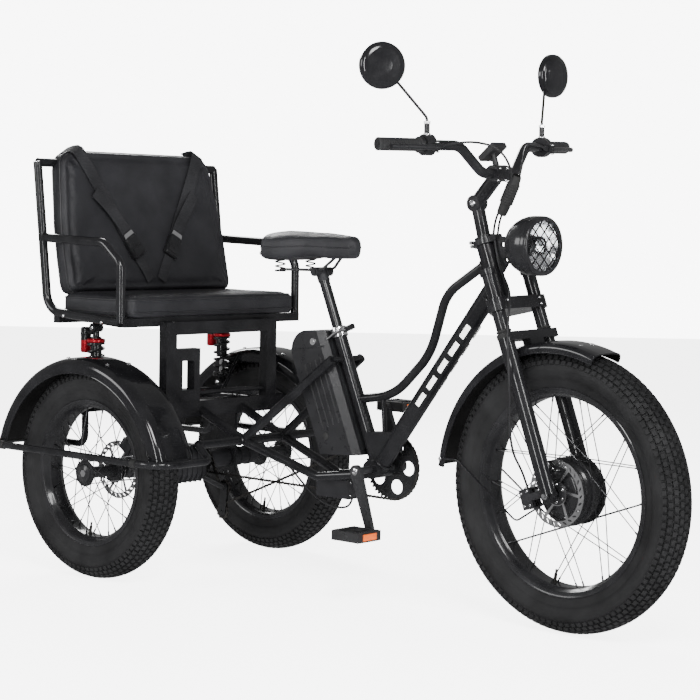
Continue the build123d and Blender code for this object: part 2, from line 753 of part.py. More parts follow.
def stem():
    """Adjustable stem: foot on the steerer, two arms and the bar clamp."""
    foot = STEER * Pos(0, 0, HEAD_TUBE_TOP + HEADSET_GAP) * Cylinder(
        HEAD_TUBE_RADIUS, STEM_TOP_LENGTH, align=STANDING
    )
    foot_top = on_steer(0, 0, HEAD_TUBE_TOP + STEM_TOP_LENGTH)
    foot_top = Vector(foot_top.X, 0, foot_top.Z)
    kink_x, kink_z = STEM_KINK
    bar_x, bar_z = BAR_CLAMP
    kink = (kink_x, 0, kink_z)
    body = foot + rod(foot_top, kink, STEM_RADIUS)
    body += rod((kink_x, -STEM_RADIUS, kink_z), (kink_x, STEM_RADIUS, kink_z), STEM_CLAMP_RADIUS)
    body += rod(kink, (bar_x, 0, bar_z), STEM_RADIUS)
    half = STEM_CLAMP_WIDTH / 2
    body += rod((bar_x, -half, bar_z), (bar_x, half, bar_z), STEM_CLAMP_RADIUS)
    steerer = STEER * Pos(0, 0, CROWN_FOOT) * Cylinder(
        STEERER_RADIUS, HEAD_TUBE_TOP - CROWN_FOOT + STEM_TOP_LENGTH, align=STANDING
    )
    return body - steerer - rod((bar_x, -half * 2, bar_z), (bar_x, half * 2, bar_z), BAR_DIAMETER / 2)


def handlebar():
    """Riser bar, one tube through its clamp with four bends."""
    left = [tuple(point) for point in BAR_POINTS]
    right = [(x, -y, z) for x, y, z in reversed(left)]
    return bent_tube(right + left, list(reversed(BAR_BENDS[1:])) + [BAR_BENDS[0]] * 2 + BAR_BENDS[1:], BAR_DIAMETER)


def bar_point(share, side):
    """Point on the straight end of the bar, from its last bend to its tip."""
    inner, outer = BAR_POINTS[-2:]
    point = inner + (outer - inner) * share
    return Vector(point.X, point.Y * side, point.Z)


def grips():
    """Rubber grips over the bar's ends, closed at the tip."""
    pieces = []
    run = (BAR_POINTS[-1] - BAR_POINTS[-2]).length
    for side in (1, -1):
        tip = bar_point(1 + RIM_WALL / run, side)
        inner = bar_point(1 - GRIP_LENGTH / run, side)
        pieces += [rod(inner, tip, GRIP_RADIUS) - handlebar()]
    return Compound(pieces)


def lever_clamp(side):
    """Middle of a lever's clamp and the direction of the bar there."""
    at = bar_point(LEVER_AT_SHARE, side)
    along = (bar_point(1, side) - bar_point(0, side)).normalized()
    return at, along


def levers():
    """Brake levers, each a clamp round the bar and a bent blade ahead of the grip."""
    pieces = []
    for side in (1, -1):
        at, along = lever_clamp(side)
        clamp = rod(at - along * BAR_DIAMETER / 2, at + along * BAR_DIAMETER / 2, BAR_DIAMETER)
        pivot = at + Vector(LEVER_REACH, 0, -LEVER_DROP)
        body = rod(at, pivot, LEVER_BODY_RADIUS)
        knee = pivot + along * LEVER_LENGTH / 3
        tip = knee + along * LEVER_LENGTH * 2 / 3 - Vector(LEVER_DROP, 0, 0)
        blade = rod(pivot, knee, LEVER_BLADE_RADIUS) + rod(knee, tip, LEVER_BLADE_RADIUS)
        pieces += [clamp + body + blade - handlebar()]
    return Compound(pieces)


def mirror_piece(side):
    """Round mirror on a thin bent stem that stands on the lever's clamp."""
    place = Vector(MIRROR_X, MIRROR_Y * side, MIRROR_Z)
    facing = math.radians(MIRROR_FACINGS[0 if side > 0 else 1])
    back = Vector(math.cos(facing), math.sin(facing), 0)
    half = MIRROR_DEPTH / 2
    head = Plane(origin=place - back * half, z_dir=back) * Cylinder(MIRROR_RADIUS, half, align=STANDING)
    dome = Plane(origin=place, z_dir=back) * Cone(MIRROR_RADIUS, MIRROR_BACK_RADIUS, half, align=STANDING)
    foot = bar_point(LEVER_AT_SHARE, side) + Vector(0, 0, BAR_DIAMETER + SEAT_GAP)
    rise = foot + Vector(0, 0, MIRROR_FOOT_RISE)
    inward = Vector(math.sin(facing), -math.cos(facing), 0) * side
    edge = place - back * half / 2 + (inward - Vector(0, 0, 1)).normalized() * (MIRROR_RADIUS - MIRROR_STEM_DIAMETER)
    bend = MIRROR_FOOT_RISE / 2
    stem_tube = bent_tube([tuple(foot), tuple(rise), tuple(edge)], [bend], MIRROR_STEM_DIAMETER)
    boss = rod(foot, rise - Vector(0, 0, MIRROR_FOOT_RISE / 3), MIRROR_STEM_DIAMETER)
    return head + dome + stem_tube + boss


def lamp_plane():
    """Frame at the middle of the lamp's rim, z forward."""
    x, z = LAMP_CENTRE
    return Plane(origin=(x, 0, z), x_dir=(0, 1, 0), z_dir=(1, 0, 0))


def headlight():
    """Lamp bowl with its ring, on a pierced bracket from the foot of the stem."""
    outside = [(LAMP_RADIUS * radius_share, -LAMP_DEPTH * share) for share, radius_share in BOWL_SHARES]
    bowl = Plane.XZ * make_face(
        Polyline(
            (0, -LAMP_DEPTH),
            (LAMP_NECK_RADIUS, -LAMP_DEPTH),
            *outside,
            (LAMP_RADIUS, -LAMP_RING_DEPTH),
            (LAMP_RADIUS, 0),
            (LAMP_RADIUS - LAMP_RING, 0),
            (LAMP_RADIUS - LAMP_RING, -LAMP_RING_DEPTH),
            (LAMP_RADIUS * 0.5, -LAMP_DEPTH * 0.6),
            (0, -LAMP_DEPTH * 0.66),
            close=True,
        )
    )
    body = lamp_plane() * revolve(bowl, axis=Axis.Z)
    x, z = LAMP_CENTRE
    foot_z = HEAD_TUBE_TOP + HEADSET_GAP
    reach = HEAD_TUBE_RADIUS + LAMP_BRACKET_GAP
    rear_top = on_steer(reach, 0, foot_z + LAMP_CLIP_HEIGHT)
    rear_low = on_steer(reach, 0, foot_z - LAMP_BRACKET_DROP)
    neck_x = x - LAMP_DEPTH + LAMP_RING
    corners = [
        (rear_top.X, rear_top.Z),
        (neck_x, z + LAMP_NECK_RADIUS),
        (neck_x, z - LAMP_NECK_RADIUS),
        (rear_low.X, rear_low.Z),
    ]
    plate = make_face(Polyline(*corners, close=True))
    middle = Vector(*corners[0]) + (Vector(*corners[2]) - Vector(*corners[0])) * 0.5
    lower = Vector(*corners[3]) + (Vector(*corners[1]) - Vector(*corners[3])) * 0.38
    plate -= Pos(middle) * Circle(LAMP_HOLE_RADIUS)
    plate -= Pos(lower) * Circle(LAMP_HOLE_RADIUS)
    bracket = extrude(Plane.XZ * plate, amount=LAMP_BRACKET_THICKNESS, both=True)
    collar = Cylinder(reach, LAMP_CLIP_HEIGHT, align=STANDING)
    collar += Pos(reach, 0, 0) * Box(
        LAMP_CLIP_LENGTH * 2, LAMP_CLIP_WIDTH, LAMP_CLIP_HEIGHT, align=STANDING
    )
    collar -= Cylinder(HEAD_TUBE_RADIUS + SEAT_GAP, LAMP_CLIP_HEIGHT, align=STANDING)
    return body + bracket + STEER * Pos(0, 0, foot_z) * collar


def headlight_lens():
    """Clear disc that closes the lamp."""
    lens = Pos(0, 0, -LENS_THICKNESS) * Cylinder(
        LAMP_RADIUS - LAMP_RING, LENS_THICKNESS, align=(Align.CENTER, Align.CENTER, Align.MAX)
    )
    return lamp_plane() * lens


def display():
    """Display unit on a strap over the bar's clamp."""
    x, z = DISPLAY_CENTRE
    case = Pos(x, 0, z) * Rot(0, -DISPLAY_TILT, 0) * Box(DISPLAY_LENGTH, DISPLAY_WIDTH, DISPLAY_THICKNESS)
    case = fillet(case.edges().filter_by(Axis.Y), radius=DISPLAY_THICKNESS / 4)
    bar_x, bar_z = BAR_CLAMP
    foot = Vector(bar_x, 0, bar_z)
    post = rod(foot, (x, 0, z), DISPLAY_THICKNESS / 2)
    half = STEM_CLAMP_WIDTH
    return case + (post - rod((bar_x, -half, bar_z), (bar_x, half, bar_z), STEM_CLAMP_RADIUS + SEAT_GAP))


def front_caliper():
    """Caliper behind the right slider, with a slot for the rotor."""
    reach = FRONT_DISC_RADIUS - DISC_RING
    far = FRONT_DISC_RADIUS + DISC_RING
    low = Vector(FORK_OFFSET - far, FRONT_DISC_Y - DISC_SLOT * 1.4, -DISC_RING)
    high = Vector(FORK_OFFSET - reach, FRONT_DISC_Y + DISC_SLOT * 1.3, DISC_RING * 2)
    body = block(low, high)
    body -= block(
        (FORK_OFFSET - FRONT_DISC_RADIUS - OVERRUN, FRONT_DISC_Y - DISC_SLOT / 2, -far),
        (FORK_OFFSET, FRONT_DISC_Y + DISC_SLOT / 2, far),
    )
    body += block(
        (FORK_OFFSET - reach - OVERRUN, -LEG_SPREAD, 0),
        (FORK_OFFSET - SLIDER_RADIUS / 2, FRONT_DISC_Y - DISC_SLOT / 2 - RIM_WALL, DISC_RING),
    )
    slider = Pos(FORK_OFFSET, -LEG_SPREAD, -SLIDER_TOP) * Cylinder(
        SLIDER_RADIUS, SLIDER_TOP * 2, align=STANDING
    )
    slider += Pos(FORK_OFFSET, -LEG_SPREAD, 0) * Rot(90, 0, 0) * Cylinder(DROPOUT_RADIUS, DROPOUT_THICKNESS)
    return STEER * (body - slider)


# Frame
def head_tube_solid(radius, low, high):
    """Cylinder on the steering axis."""
    return STEER * Pos(0, 0, low) * Cylinder(radius, high - low, align=STANDING)


def head_tube():
    """Head tube with its two bearing collars and a bore for the steerer."""
    tube = head_tube_solid(HEAD_TUBE_RADIUS, HEAD_TUBE_FOOT, HEAD_TUBE_TOP)
    return tube - head_tube_solid(STEERER_RADIUS + BEARING_PLAY, HEAD_TUBE_FOOT - OVERRUN, HEAD_TUBE_TOP + OVERRUN)


def down_tube_line():
    """Ends of the down tube's middle line."""
    top = on_steer(0, 0, HEAD_TUBE_FOOT + DOWN_TUBE_AT_HEAD)
    return Vector(top.X, 0, top.Z), BRACKET


def down_tube_solid():
    """Down tube before it is coped."""
    top, foot = down_tube_line()
    return rod(top, foot, DOWN_TUBE_DIAMETER / 2)


def head_outline():
    """Filled outline of the head tube, for coping."""
    return head_tube_solid(HEAD_TUBE_RADIUS, HEAD_TUBE_FOOT, HEAD_TUBE_TOP)


def shell_outline():
    """Filled outline of the bottom bracket shell, for coping."""
    half = BRACKET_SHELL_WIDTH / 2
    return Pos(BRACKET) * disc(BRACKET_SHELL_RADIUS, -half, half)


def seat_tube_solid():
    """Seat tube before it is coped."""
    return SEAT_LINE * Cylinder(
        SEAT_TUBE_DIAMETER / 2, SEAT_TUBE_LENGTH, align=STANDING
    )


def down_tube():
    """Down tube, coped to the head tube and the bracket shell."""
    tube = down_tube_solid() - head_outline() - shell_outline() - seat_tube_solid()
    return tube.solids().sort_by(SortBy.VOLUME)[-1]


def seat_tube():
    """Seat tube and the bottom bracket shell at its foot."""
    half = BRACKET_SHELL_WIDTH / 2
    joined = seat_tube_solid() + shell_outline()
    bore = Pos(BRACKET) * disc(SPINDLE_RADIUS + BEARING_PLAY, -half - OVERRUN, half + OVERRUN)
    post = SEAT_LINE * Pos(0, 0, SEAT_TUBE_LENGTH - SEAT_POST_LENGTH / 3) * Cylinder(
        SEAT_POST_DIAMETER / 2, SEAT_POST_LENGTH, align=STANDING
    )
    return joined - bore - post


def top_tube():
    """Swept-down top tube from the seat tube to the head tube."""
    start = on_seat_line(0, 0, TOP_TUBE_AT_SEAT)
    end = on_steer(0, 0, HEAD_TUBE_FOOT + TOP_TUBE_AT_HEAD)
    points = [(start.X, 0, start.Z)]
    way = end - start
    points += [(start.X + way.X * ahead, 0, start.Z + way.Z * up) for ahead, up in TOP_TUBE_SHARES]
    points += [(end.X, 0, end.Z)]
    tube = bent_tube(points, TOP_TUBE_BENDS, TOP_TUBE_DIAMETER)
    tube = tube - seat_tube_solid() - head_outline() - down_tube_solid()
    return tube.solids().sort_by(SortBy.VOLUME)[-1]


def gusset():
    """Boxed gusset above the bracket, with the strut up to the top tube."""
    top, foot = down_tube_line()
    up_down = (top - foot).normalized()
    seat_point = on_seat_line(0, 0, GUSSET_UP_SEAT)
    down_point = foot + up_down * GUSSET_UP_DOWN
    plate = Plane.XZ * make_face(
        Polyline((foot.X, foot.Z), (seat_point.X, seat_point.Z), (down_point.X, down_point.Z), close=True)
    )
    solid = extrude(plate, amount=GUSSET_WIDTH / 2, both=True)
    strut_top = on_seat_line(-STRUT_AHEAD, 0, TOP_TUBE_AT_SEAT)
    strut_foot = (seat_point + down_point) / 2 - Vector(0, 0, STRUT_DIAMETER)
    solid += rod((strut_foot.X, 0, strut_foot.Z), (strut_top.X, 0, strut_top.Z), STRUT_DIAMETER / 2)
    cut = solid - seat_tube_solid() - down_tube_solid() - shell_outline() - top_tube()
    return cut.solids().sort_by(SortBy.VOLUME)[-1]


# Rear frame
def rear_stays():
    """Seat stays, chain stays and the cross tube at their feet."""
    stay_x, stay_y, stay_z = STAY_FOOT
    dip_x, dip_y, dip_z = CHAIN_STAY_DIP
    front_x, front_y, front_z = CHAIN_STAY_FRONT
    top = on_seat_line(0, 0, SEAT_STAY_TOP)
    radius = STAY_DIAMETER / 2
    joined = rod((stay_x, -GUARD_IN_Y, stay_z), (stay_x, GUARD_IN_Y, stay_z), radius)
    joined += rod((top.X, -SEAT_STAY_TOP_Y, top.Z), (top.X, SEAT_STAY_TOP_Y, top.Z), SEAT_STAY_BOLT_RADIUS)
    for side in (1, -1):
        foot = (stay_x, stay_y * side, stay_z)
        joined += rod((top.X, SEAT_STAY_TOP_Y * side, top.Z), foot, radius)
        route = [
            (BRACKET_X, front_y * side, BRACKET_Z),
            (front_x, front_y * side, front_z),
            (dip_x, dip_y * side, dip_z),
            foot,
        ]
        joined += bent_tube(route, [radius * 2, radius * 3], STAY_DIAMETER)
    return joined - seat_tube_solid() - shell_outline()


def rear_frame():
    """Beams, rails and plates that carry the bench and the rear axle."""
    half_height = FRONT_BEAM_HEIGHT / 2
    half_depth = FRONT_BEAM_DEPTH / 2
    joined = block(
        (FRONT_BEAM_X - half_depth, -BEAM_HALF_WIDTH, FRONT_BEAM_Z - half_height),
        (FRONT_BEAM_X + half_depth, BEAM_HALF_WIDTH, FRONT_BEAM_Z + half_height),
    )
    joined += block(
        (REAR_BEAM_X - half_depth, -BEAM_HALF_WIDTH, FRONT_BEAM_Z - half_height),
        (REAR_BEAM_X + half_depth, BEAM_HALF_WIDTH, FRONT_BEAM_Z + half_height),
    )
    joined += rod((0, -RAIL_Y, FRONT_BEAM_Z), (0, RAIL_Y, FRONT_BEAM_Z), CROSS_ROD_DIAMETER / 2)
    stay_x, stay_y, stay_z = STAY_FOOT
    inner_y = (REAR_TRACK - FENDER_WIDTH) / 2
    for side in (1, -1):
        joined += rod(
            (FRONT_BEAM_X, RAIL_Y * side, FRONT_BEAM_Z), (REAR_BEAM_X, RAIL_Y * side, FRONT_BEAM_Z), RAIL_DIAMETER / 2
        )
        low, high = sorted((AXLE_PLATE_Y * side, (AXLE_PLATE_Y + AXLE_PLATE_THICKNESS) * side))
        reach = AXLE_TUBE_RADIUS + AXLE_PLATE_MARGIN
        joined += block((-reach, low, REAR_TYRE_RADIUS - reach), (reach, high, FRONT_BEAM_Z))
        joined += rod((FRONT_BEAM_X, stay_y * side, FRONT_BEAM_Z), (stay_x, stay_y * side, stay_z), STAY_DIAMETER / 2)
        lug_y = SHOCK_Y * side
        joined += block(
            (REAR_BEAM_X, lug_y - SHOCK_ROD_RADIUS, FRONT_BEAM_Z - SHOCK_EYE_RADIUS),
            (SHOCK_X + SHOCK_EYE_RADIUS, lug_y + SHOCK_ROD_RADIUS, SHOCK_FOOT - SHOCK_EYE_RADIUS - SEAT_GAP),
        )
        for place in FENDER_STAY_PLACES:
            joined += fender_stay(place, side, inner_y)
    return joined - rear_stays() - axle_outline()


def fender_stay(place, side, inner_y):
    """Round stay from a rail up to the inner face of a rear fender."""
    centre_x, centre_z = FENDER_CENTRE
    reach = FENDER_RADIUS - FENDER_SKIRT / 2
    height = centre_z + math.sqrt(reach**2 - (place - centre_x) ** 2)
    foot = (place, RAIL_Y * side, FRONT_BEAM_Z)
    run = rod(foot, (place, (inner_y + OVERRUN) * side, height), FENDER_STAY_DIAMETER / 2)
    far = (inner_y - SEAT_GAP) * side
    low, high = sorted((0, far))
    return run & block((place - RAIL_DIAMETER, low, 0), (place + RAIL_DIAMETER, high, FENDER_RADIUS * 2))


def axle_outline():
    """Axle housing with the gear case, before it is bored."""
    tube = disc(AXLE_TUBE_RADIUS, -AXLE_TUBE_END, AXLE_TUBE_END)
    low = DIFFERENTIAL_Y - DIFFERENTIAL_WIDTH / 2
    high = DIFFERENTIAL_Y + DIFFERENTIAL_WIDTH / 2
    case = block(
        (-DIFFERENTIAL_LENGTH / 2, low, -DIFFERENTIAL_HEIGHT / 2),
        (DIFFERENTIAL_LENGTH / 2, high, DIFFERENTIAL_HEIGHT / 2),
    )
    case = fillet(case.edges().filter_by(Axis.Y), radius=DIFFERENTIAL_HEIGHT / 3)
    return Pos(0, 0, REAR_TYRE_RADIUS) * (tube + case)


def rear_axle():
    """Axle housing bored at both ends for the half shafts."""
    housing = axle_outline()
    depth = REAR_HUB_INNER - SHAFT_DEPTH - OVERRUN
    for side in (1, -1):
        low_y, high_y = sorted((depth * side, REAR_HUB_INNER * side))
        housing -= Pos(0, 0, REAR_TYRE_RADIUS) * disc(SHAFT_RADIUS + BEARING_PLAY, low_y, high_y)
    return housing


def rear_caliper():
    """Caliper over the right rear rotor, on an arm from the axle housing."""
    reach = REAR_DISC_RADIUS - DISC_RING
    far = REAR_DISC_RADIUS + DISC_RING
    place = -REAR_DISC_Y
    body = block(
        (-DISC_RING * 1.5, place - DISC_SLOT * 1.05, reach),
        (DISC_RING * 1.5, place + DISC_SLOT * 1.3, far),
    )
    body -= block(
        (-far, place - DISC_SLOT / 2, 0),
        (far, place + DISC_SLOT / 2, REAR_DISC_RADIUS + OVERRUN),
    )
    body += block(
        (-DISC_RING, place + DISC_SLOT, 0),
        (DISC_RING, place + DISC_SLOT * 1.3 + RIM_WALL * 2, reach + OVERRUN),
    )
    body = Pos(0, 0, REAR_TYRE_RADIUS) * Rot(0, 35, 0) * body
    return body - axle_outline()


# Bench
def bench_frame():
    """Side frames with their arm rests, and the rails that join them."""
    pieces = []
    post = ([POST_TOP, SEAT_REAR, SEAT_FRONT], [POST_BEND])
    arm = ([ARM_REAR, ARM_FRONT, ARM_KNEE, SEAT_FRONT], ARM_BENDS)
    routes = (post, arm)
    for side in (1, -1):
        for corners, bends in routes:
            points = [(x, BENCH_HALF_WIDTH * side, z) for x, z in corners]
            pieces += [bent_tube(points, bends, BENCH_TUBE_DIAMETER)]
    top_x, top_z = POST_TOP
    peg = rod((top_x, BENCH_HALF_WIDTH, top_z), (top_x, BENCH_PEG_INNER, top_z), BENCH_TUBE_DIAMETER / 2)
    rails = [peg - backrest(), mirror(peg - backrest(), about=Plane.XZ)]
    front_x, front_z = SEAT_FRONT
    low_z = front_z - BENCH_STRIP_HEIGHT / 2
    high_z = front_z + BENCH_STRIP_HEIGHT / 2
    back_x = SEAT_REAR[0] + BENCH_STRIP_DEPTH
    half = BENCH_HALF_WIDTH
    rails += [block((front_x - BENCH_STRIP_DEPTH / 2, -half, low_z), (PORTAL_X - PORTAL_THICKNESS / 2, half, high_z))]
    rails += [block((back_x, -half, low_z), (back_x + BENCH_STRIP_DEPTH, half, high_z))]
    for side in (1, -1):
        low_y = SHOCK_Y * side - BENCH_STRIP_DEPTH / 2
        rails += [block((back_x, low_y, low_z), (front_x, low_y + BENCH_STRIP_DEPTH, high_z))]
    return pieces[0].fuse(*pieces[1:], *rails)


def bench_portal():
    """Portal that holds the bench's front up on the front beam."""
    low_x = PORTAL_X - PORTAL_THICKNESS / 2
    high_x = PORTAL_X + PORTAL_THICKNESS / 2
    half = PORTAL_HALF_WIDTH
    portal = block((low_x, -half, PORTAL_FOOT), (high_x, half, PORTAL_TOP))
    inner = half - PORTAL_LEG_WIDTH
    portal -= block(
        (low_x - OVERRUN, -inner, PORTAL_FOOT - OVERRUN), (high_x + OVERRUN, inner, PORTAL_TOP - PORTAL_BEAM_HEIGHT)
    )
    loop_low = -inner
    loop_high = -inner + LOOP_WIDTH
    loop = block((low_x, loop_low, PORTAL_FOOT), (high_x, loop_high, PORTAL_FOOT + LOOP_HEIGHT))
    slot_low = loop_low + (LOOP_WIDTH - LOOP_SLOT_WIDTH) / 2
    slot_z = PORTAL_FOOT + (LOOP_HEIGHT - LOOP_SLOT_HEIGHT) / 2
    loop -= block(
        (low_x - OVERRUN, slot_low, slot_z),
        (high_x + OVERRUN, slot_low + LOOP_SLOT_WIDTH, slot_z + LOOP_SLOT_HEIGHT),
    )
    rod_z = PORTAL_FOOT + PORTAL_ROD_RISE
    rod_end = half - PORTAL_LEG_WIDTH / 2
    portal += rod((PORTAL_X, -rod_end, rod_z), (PORTAL_X, rod_end, rod_z), PORTAL_ROD_DIAMETER / 2)
    return portal + loop - rear_frame() - rear_stays()


def bench_cushion():
    """Seat cushion on the bench's strips."""
    bottom = SEAT_FRONT[1] + BENCH_STRIP_HEIGHT / 2 + SEAT_GAP
    body = block(
        (CUSHION_REAR, -CUSHION_HALF_WIDTH, bottom),
        (CUSHION_FRONT, CUSHION_HALF_WIDTH, bottom + CUSHION_THICKNESS),
    )
    body = fillet(body.edges().filter_by(Axis.Z), radius=CUSHION_CORNER)
    top = body.faces().sort_by(Axis.Z)[-1]
    return fillet(top.edges(), radius=CUSHION_CORNER / 2)


def backrest_plane():
    """Frame at the backrest's foot: x across, y up its front face."""
    x, z = BACKREST_FOOT
    lean = math.radians(BACKREST_LEAN)
    return Plane(origin=(x, 0, z), x_dir=(0, 1, 0), z_dir=(math.cos(lean), 0, math.sin(lean)))


def backrest():
    """Backrest pad, narrower at the top with round corners."""
    half = BACKREST_HALF_WIDTH
    top = BACKREST_TOP_HALF_WIDTH
    corner = BACKREST_HEIGHT * 0.7
    outline = Polygon(
        (-half, 0),
        (half, 0),
        (half, corner),
        (top, BACKREST_HEIGHT),
        (-top, BACKREST_HEIGHT),
        (-half, corner),
        align=None,
    )
    outline = fillet(outline.vertices(), radius=BACKREST_CORNER / 2)
    pad = extrude(backrest_plane() * outline, amount=-BACKREST_THICKNESS)
    return pad


def belts():
    """Two lap belts laid down the front of the backrest, with their buckles."""
    pieces = []
    low = BELT_WIDTH
    for side in (1, -1):
        foot = Vector(BELT_FOOT_Y * side, low)
        head = Vector(BELT_TOP_Y * side, BACKREST_HEIGHT * 0.93)
        along = (head - foot).normalized()
        across = Vector(-along.Y, along.X) * BELT_WIDTH / 2
        corners = [foot + across, foot - across, head - across, head + across]
        strap = make_face(Polyline(*[(c.X, c.Y) for c in corners], close=True))
        lift = backrest_plane().offset(SEAT_GAP)
        strap = extrude(lift * strap, amount=BELT_THICKNESS)
        angle = math.degrees(math.atan2(along.Y, along.X))
        place = foot + along * BUCKLE_HEIGHT / 2
        buckle = lift * Pos(place.X, place.Y, BUCKLE_THICKNESS / 2) * Rot(0, 0, angle) * Box(
            BUCKLE_HEIGHT, BUCKLE_WIDTH, BUCKLE_THICKNESS
        )
        pieces += [strap + buckle]
    return Compound(pieces)


# Fenders, guards and shocks
def rear_fender(side):
    """Fender over a rear tyre."""
    shell = arched_channel(
        FENDER_RADIUS, FENDER_WIDTH, FENDER_WALL, FENDER_SKIRT, FENDER_FRONT_ANGLE, FENDER_REAR_ANGLE
    )
    x, z = FENDER_CENTRE
    return Pos(x, REAR_TRACK / 2 * side, z) * shell


def guard_bars():
    """Guard bar round each rear wheel, from the front cross tube to the rear beam."""
    pieces = []
    stay_x, _, stay_z = STAY_FOOT
    for side in (1, -1):
        inner = GUARD_IN_Y * side
        outer = GUARD_OUT_Y * side
        points = [
            (stay_x, inner, stay_z),
            (GUARD_FRONT_X, inner, GUARD_Z),
            (GUARD_FRONT_X, outer, GUARD_Z),
            (GUARD_REAR_X, outer, GUARD_Z),
            (GUARD_REAR_X, inner, GUARD_Z),
            (REAR_BEAM_X, inner, GUARD_Z),
            (REAR_BEAM_X, inner, FRONT_BEAM_Z),
        ]
        bends = [GUARD_BEND / 3] + [GUARD_BEND] * 3 + [GUARD_BEND / 2]
        bar = bent_tube(points, bends, GUARD_DIAMETER) - rear_frame() - rear_stays()
        pieces += [bar.solids().sort_by(SortBy.VOLUME)[-1]]
    return Compound(pieces)


def shocks():
    """Coil shocks with side reservoirs between the bench and the rear beam."""
    pieces = []
    strip_low = SEAT_FRONT[1] - BENCH_STRIP_HEIGHT / 2
    length = strip_low - SEAT_GAP - SHOCK_EYE_RADIUS - SHOCK_FOOT
    for side in (1, -1):
        at = Pos(SHOCK_X, SHOCK_Y * side, SHOCK_FOOT)
        unit = at * Cylinder(SHOCK_ROD_RADIUS, length, align=STANDING)
        body_length = (length - SHOCK_EYE_RADIUS) / 2
        unit += at * Pos(0, 0, length / 2) * Cylinder(SHOCK_BODY_RADIUS, body_length, align=STANDING)
        pitch = (length * 0.66) / SHOCK_COILS
        for count in range(SHOCK_COILS + 1):
            height = length * 0.12 + pitch * count
            unit += at * Pos(0, 0, height) * Cylinder(SHOCK_SPRING_RADIUS, pitch / 2, align=STANDING)
        for height in (0, length):
            unit += at * Pos(0, 0, height) * Rot(90, 0, 0) * Cylinder(SHOCK_EYE_RADIUS, SHOCK_BODY_RADIUS * 2)
        reservoir_x = -(SHOCK_SPRING_RADIUS + RESERVOIR_RADIUS + RESERVOIR_GAP)
        unit += at * Pos(reservoir_x, 0, length - RESERVOIR_LENGTH) * Cylinder(
            RESERVOIR_RADIUS, RESERVOIR_LENGTH, align=STANDING
        )
        unit += at * Pos(reservoir_x / 2, 0, length - SHOCK_EYE_RADIUS) * Box(
            -reservoir_x, RESERVOIR_RADIUS, RESERVOIR_RADIUS
        )
        pieces += [unit]
    return Compound(pieces)


# Battery and controller
def battery():
    """Battery case on the back of the seat tube, rounded at its top rear."""
    near = SEAT_TUBE_DIAMETER / 2 + BATTERY_GAP
    far = near + BATTERY_DEPTH
    profile = Plane.XZ * make_face(
        Polyline(
            (near, BATTERY_FRONT_SPAN[0]),
            (far, BATTERY_REAR_SPAN[0]),
            (far, BATTERY_REAR_SPAN[1]),
            (near, BATTERY_FRONT_SPAN[1]),
            close=True,
        )
    )
    case = extrude(profile, amount=BATTERY_WIDTH / 2, both=True)
    case = fillet(case.edges().filter_by(Axis.Y).sort_by(Axis.Z)[-1:], radius=BATTERY_CORNER)
    taper = (BATTERY_WIDTH - BATTERY_BASE_WIDTH) / 2
    case = chamfer(case.edges().filter_by(Axis.Z).sort_by(Axis.X)[:2], length=taper)
    return SEAT_LINE * case


def controller():
    """Controller box behind the bracket, finned below, hung from the chain stays."""
    half = CONTROLLER_WIDTH / 2
    top = CONTROLLER_FOOT + CONTROLLER_HEIGHT
    case = block((CONTROLLER_REAR, -half, CONTROLLER_FOOT), (CONTROLLER_REAR + CONTROLLER_LENGTH, half, top))
    pitch = CONTROLLER_WIDTH / CONTROLLER_FINS
    for count in range(CONTROLLER_FINS - 1):
        low = -half + pitch * (count + 0.75)
        case -= block(
            (CONTROLLER_REAR - OVERRUN, low, CONTROLLER_FOOT - OVERRUN),
            (CONTROLLER_REAR + CONTROLLER_LENGTH + OVERRUN, low + pitch / 2, CONTROLLER_FOOT + CONTROLLER_FIN_DEPTH),
        )
    middle = CONTROLLER_REAR + CONTROLLER_LENGTH / 2
    hanger = block((middle, -half, top), (middle + STAY_DIAMETER, half, top + STAY_DIAMETER / 2))
    return case + hanger - rear_stays() - shell_outline() - seat_tube_solid()


# Saddle
def seat_post_tube():
    """Seat post by itself, as long as it stands out of the seat tube and into it."""
    start = SEAT_TUBE_LENGTH - SEAT_POST_LENGTH / 3
    return SEAT_LINE * Pos(0, 0, start) * Cylinder(SEAT_POST_DIAMETER / 2, SEAT_POST_FULL, align=STANDING)


def seat_post():
    """Seat post with its clamp collar and quick-release lever."""
    collar = SEAT_LINE * Pos(0, 0, SEAT_TUBE_LENGTH - SEAT_CLAMP_HEIGHT) * Cylinder(
        SEAT_TUBE_DIAMETER / 2 + SEAT_CLAMP_WALL, SEAT_CLAMP_HEIGHT, align=STANDING
    )
    lever = SEAT_LINE * Pos(-SEAT_TUBE_DIAMETER, 0, SEAT_TUBE_LENGTH - SEAT_CLAMP_HEIGHT / 2) * Box(
        SEAT_TUBE_DIAMETER, SEAT_CLAMP_HEIGHT / 2, SEAT_CLAMP_HEIGHT / 2
    )
    return seat_post_tube() + (collar + lever - seat_tube_solid())


def post_head():
    """Top of the seat post."""
    head = on_seat_line(0, 0, SEAT_TUBE_LENGTH - SEAT_POST_LENGTH / 3 + SEAT_POST_FULL)
    return Vector(head.X, 0, head.Z)


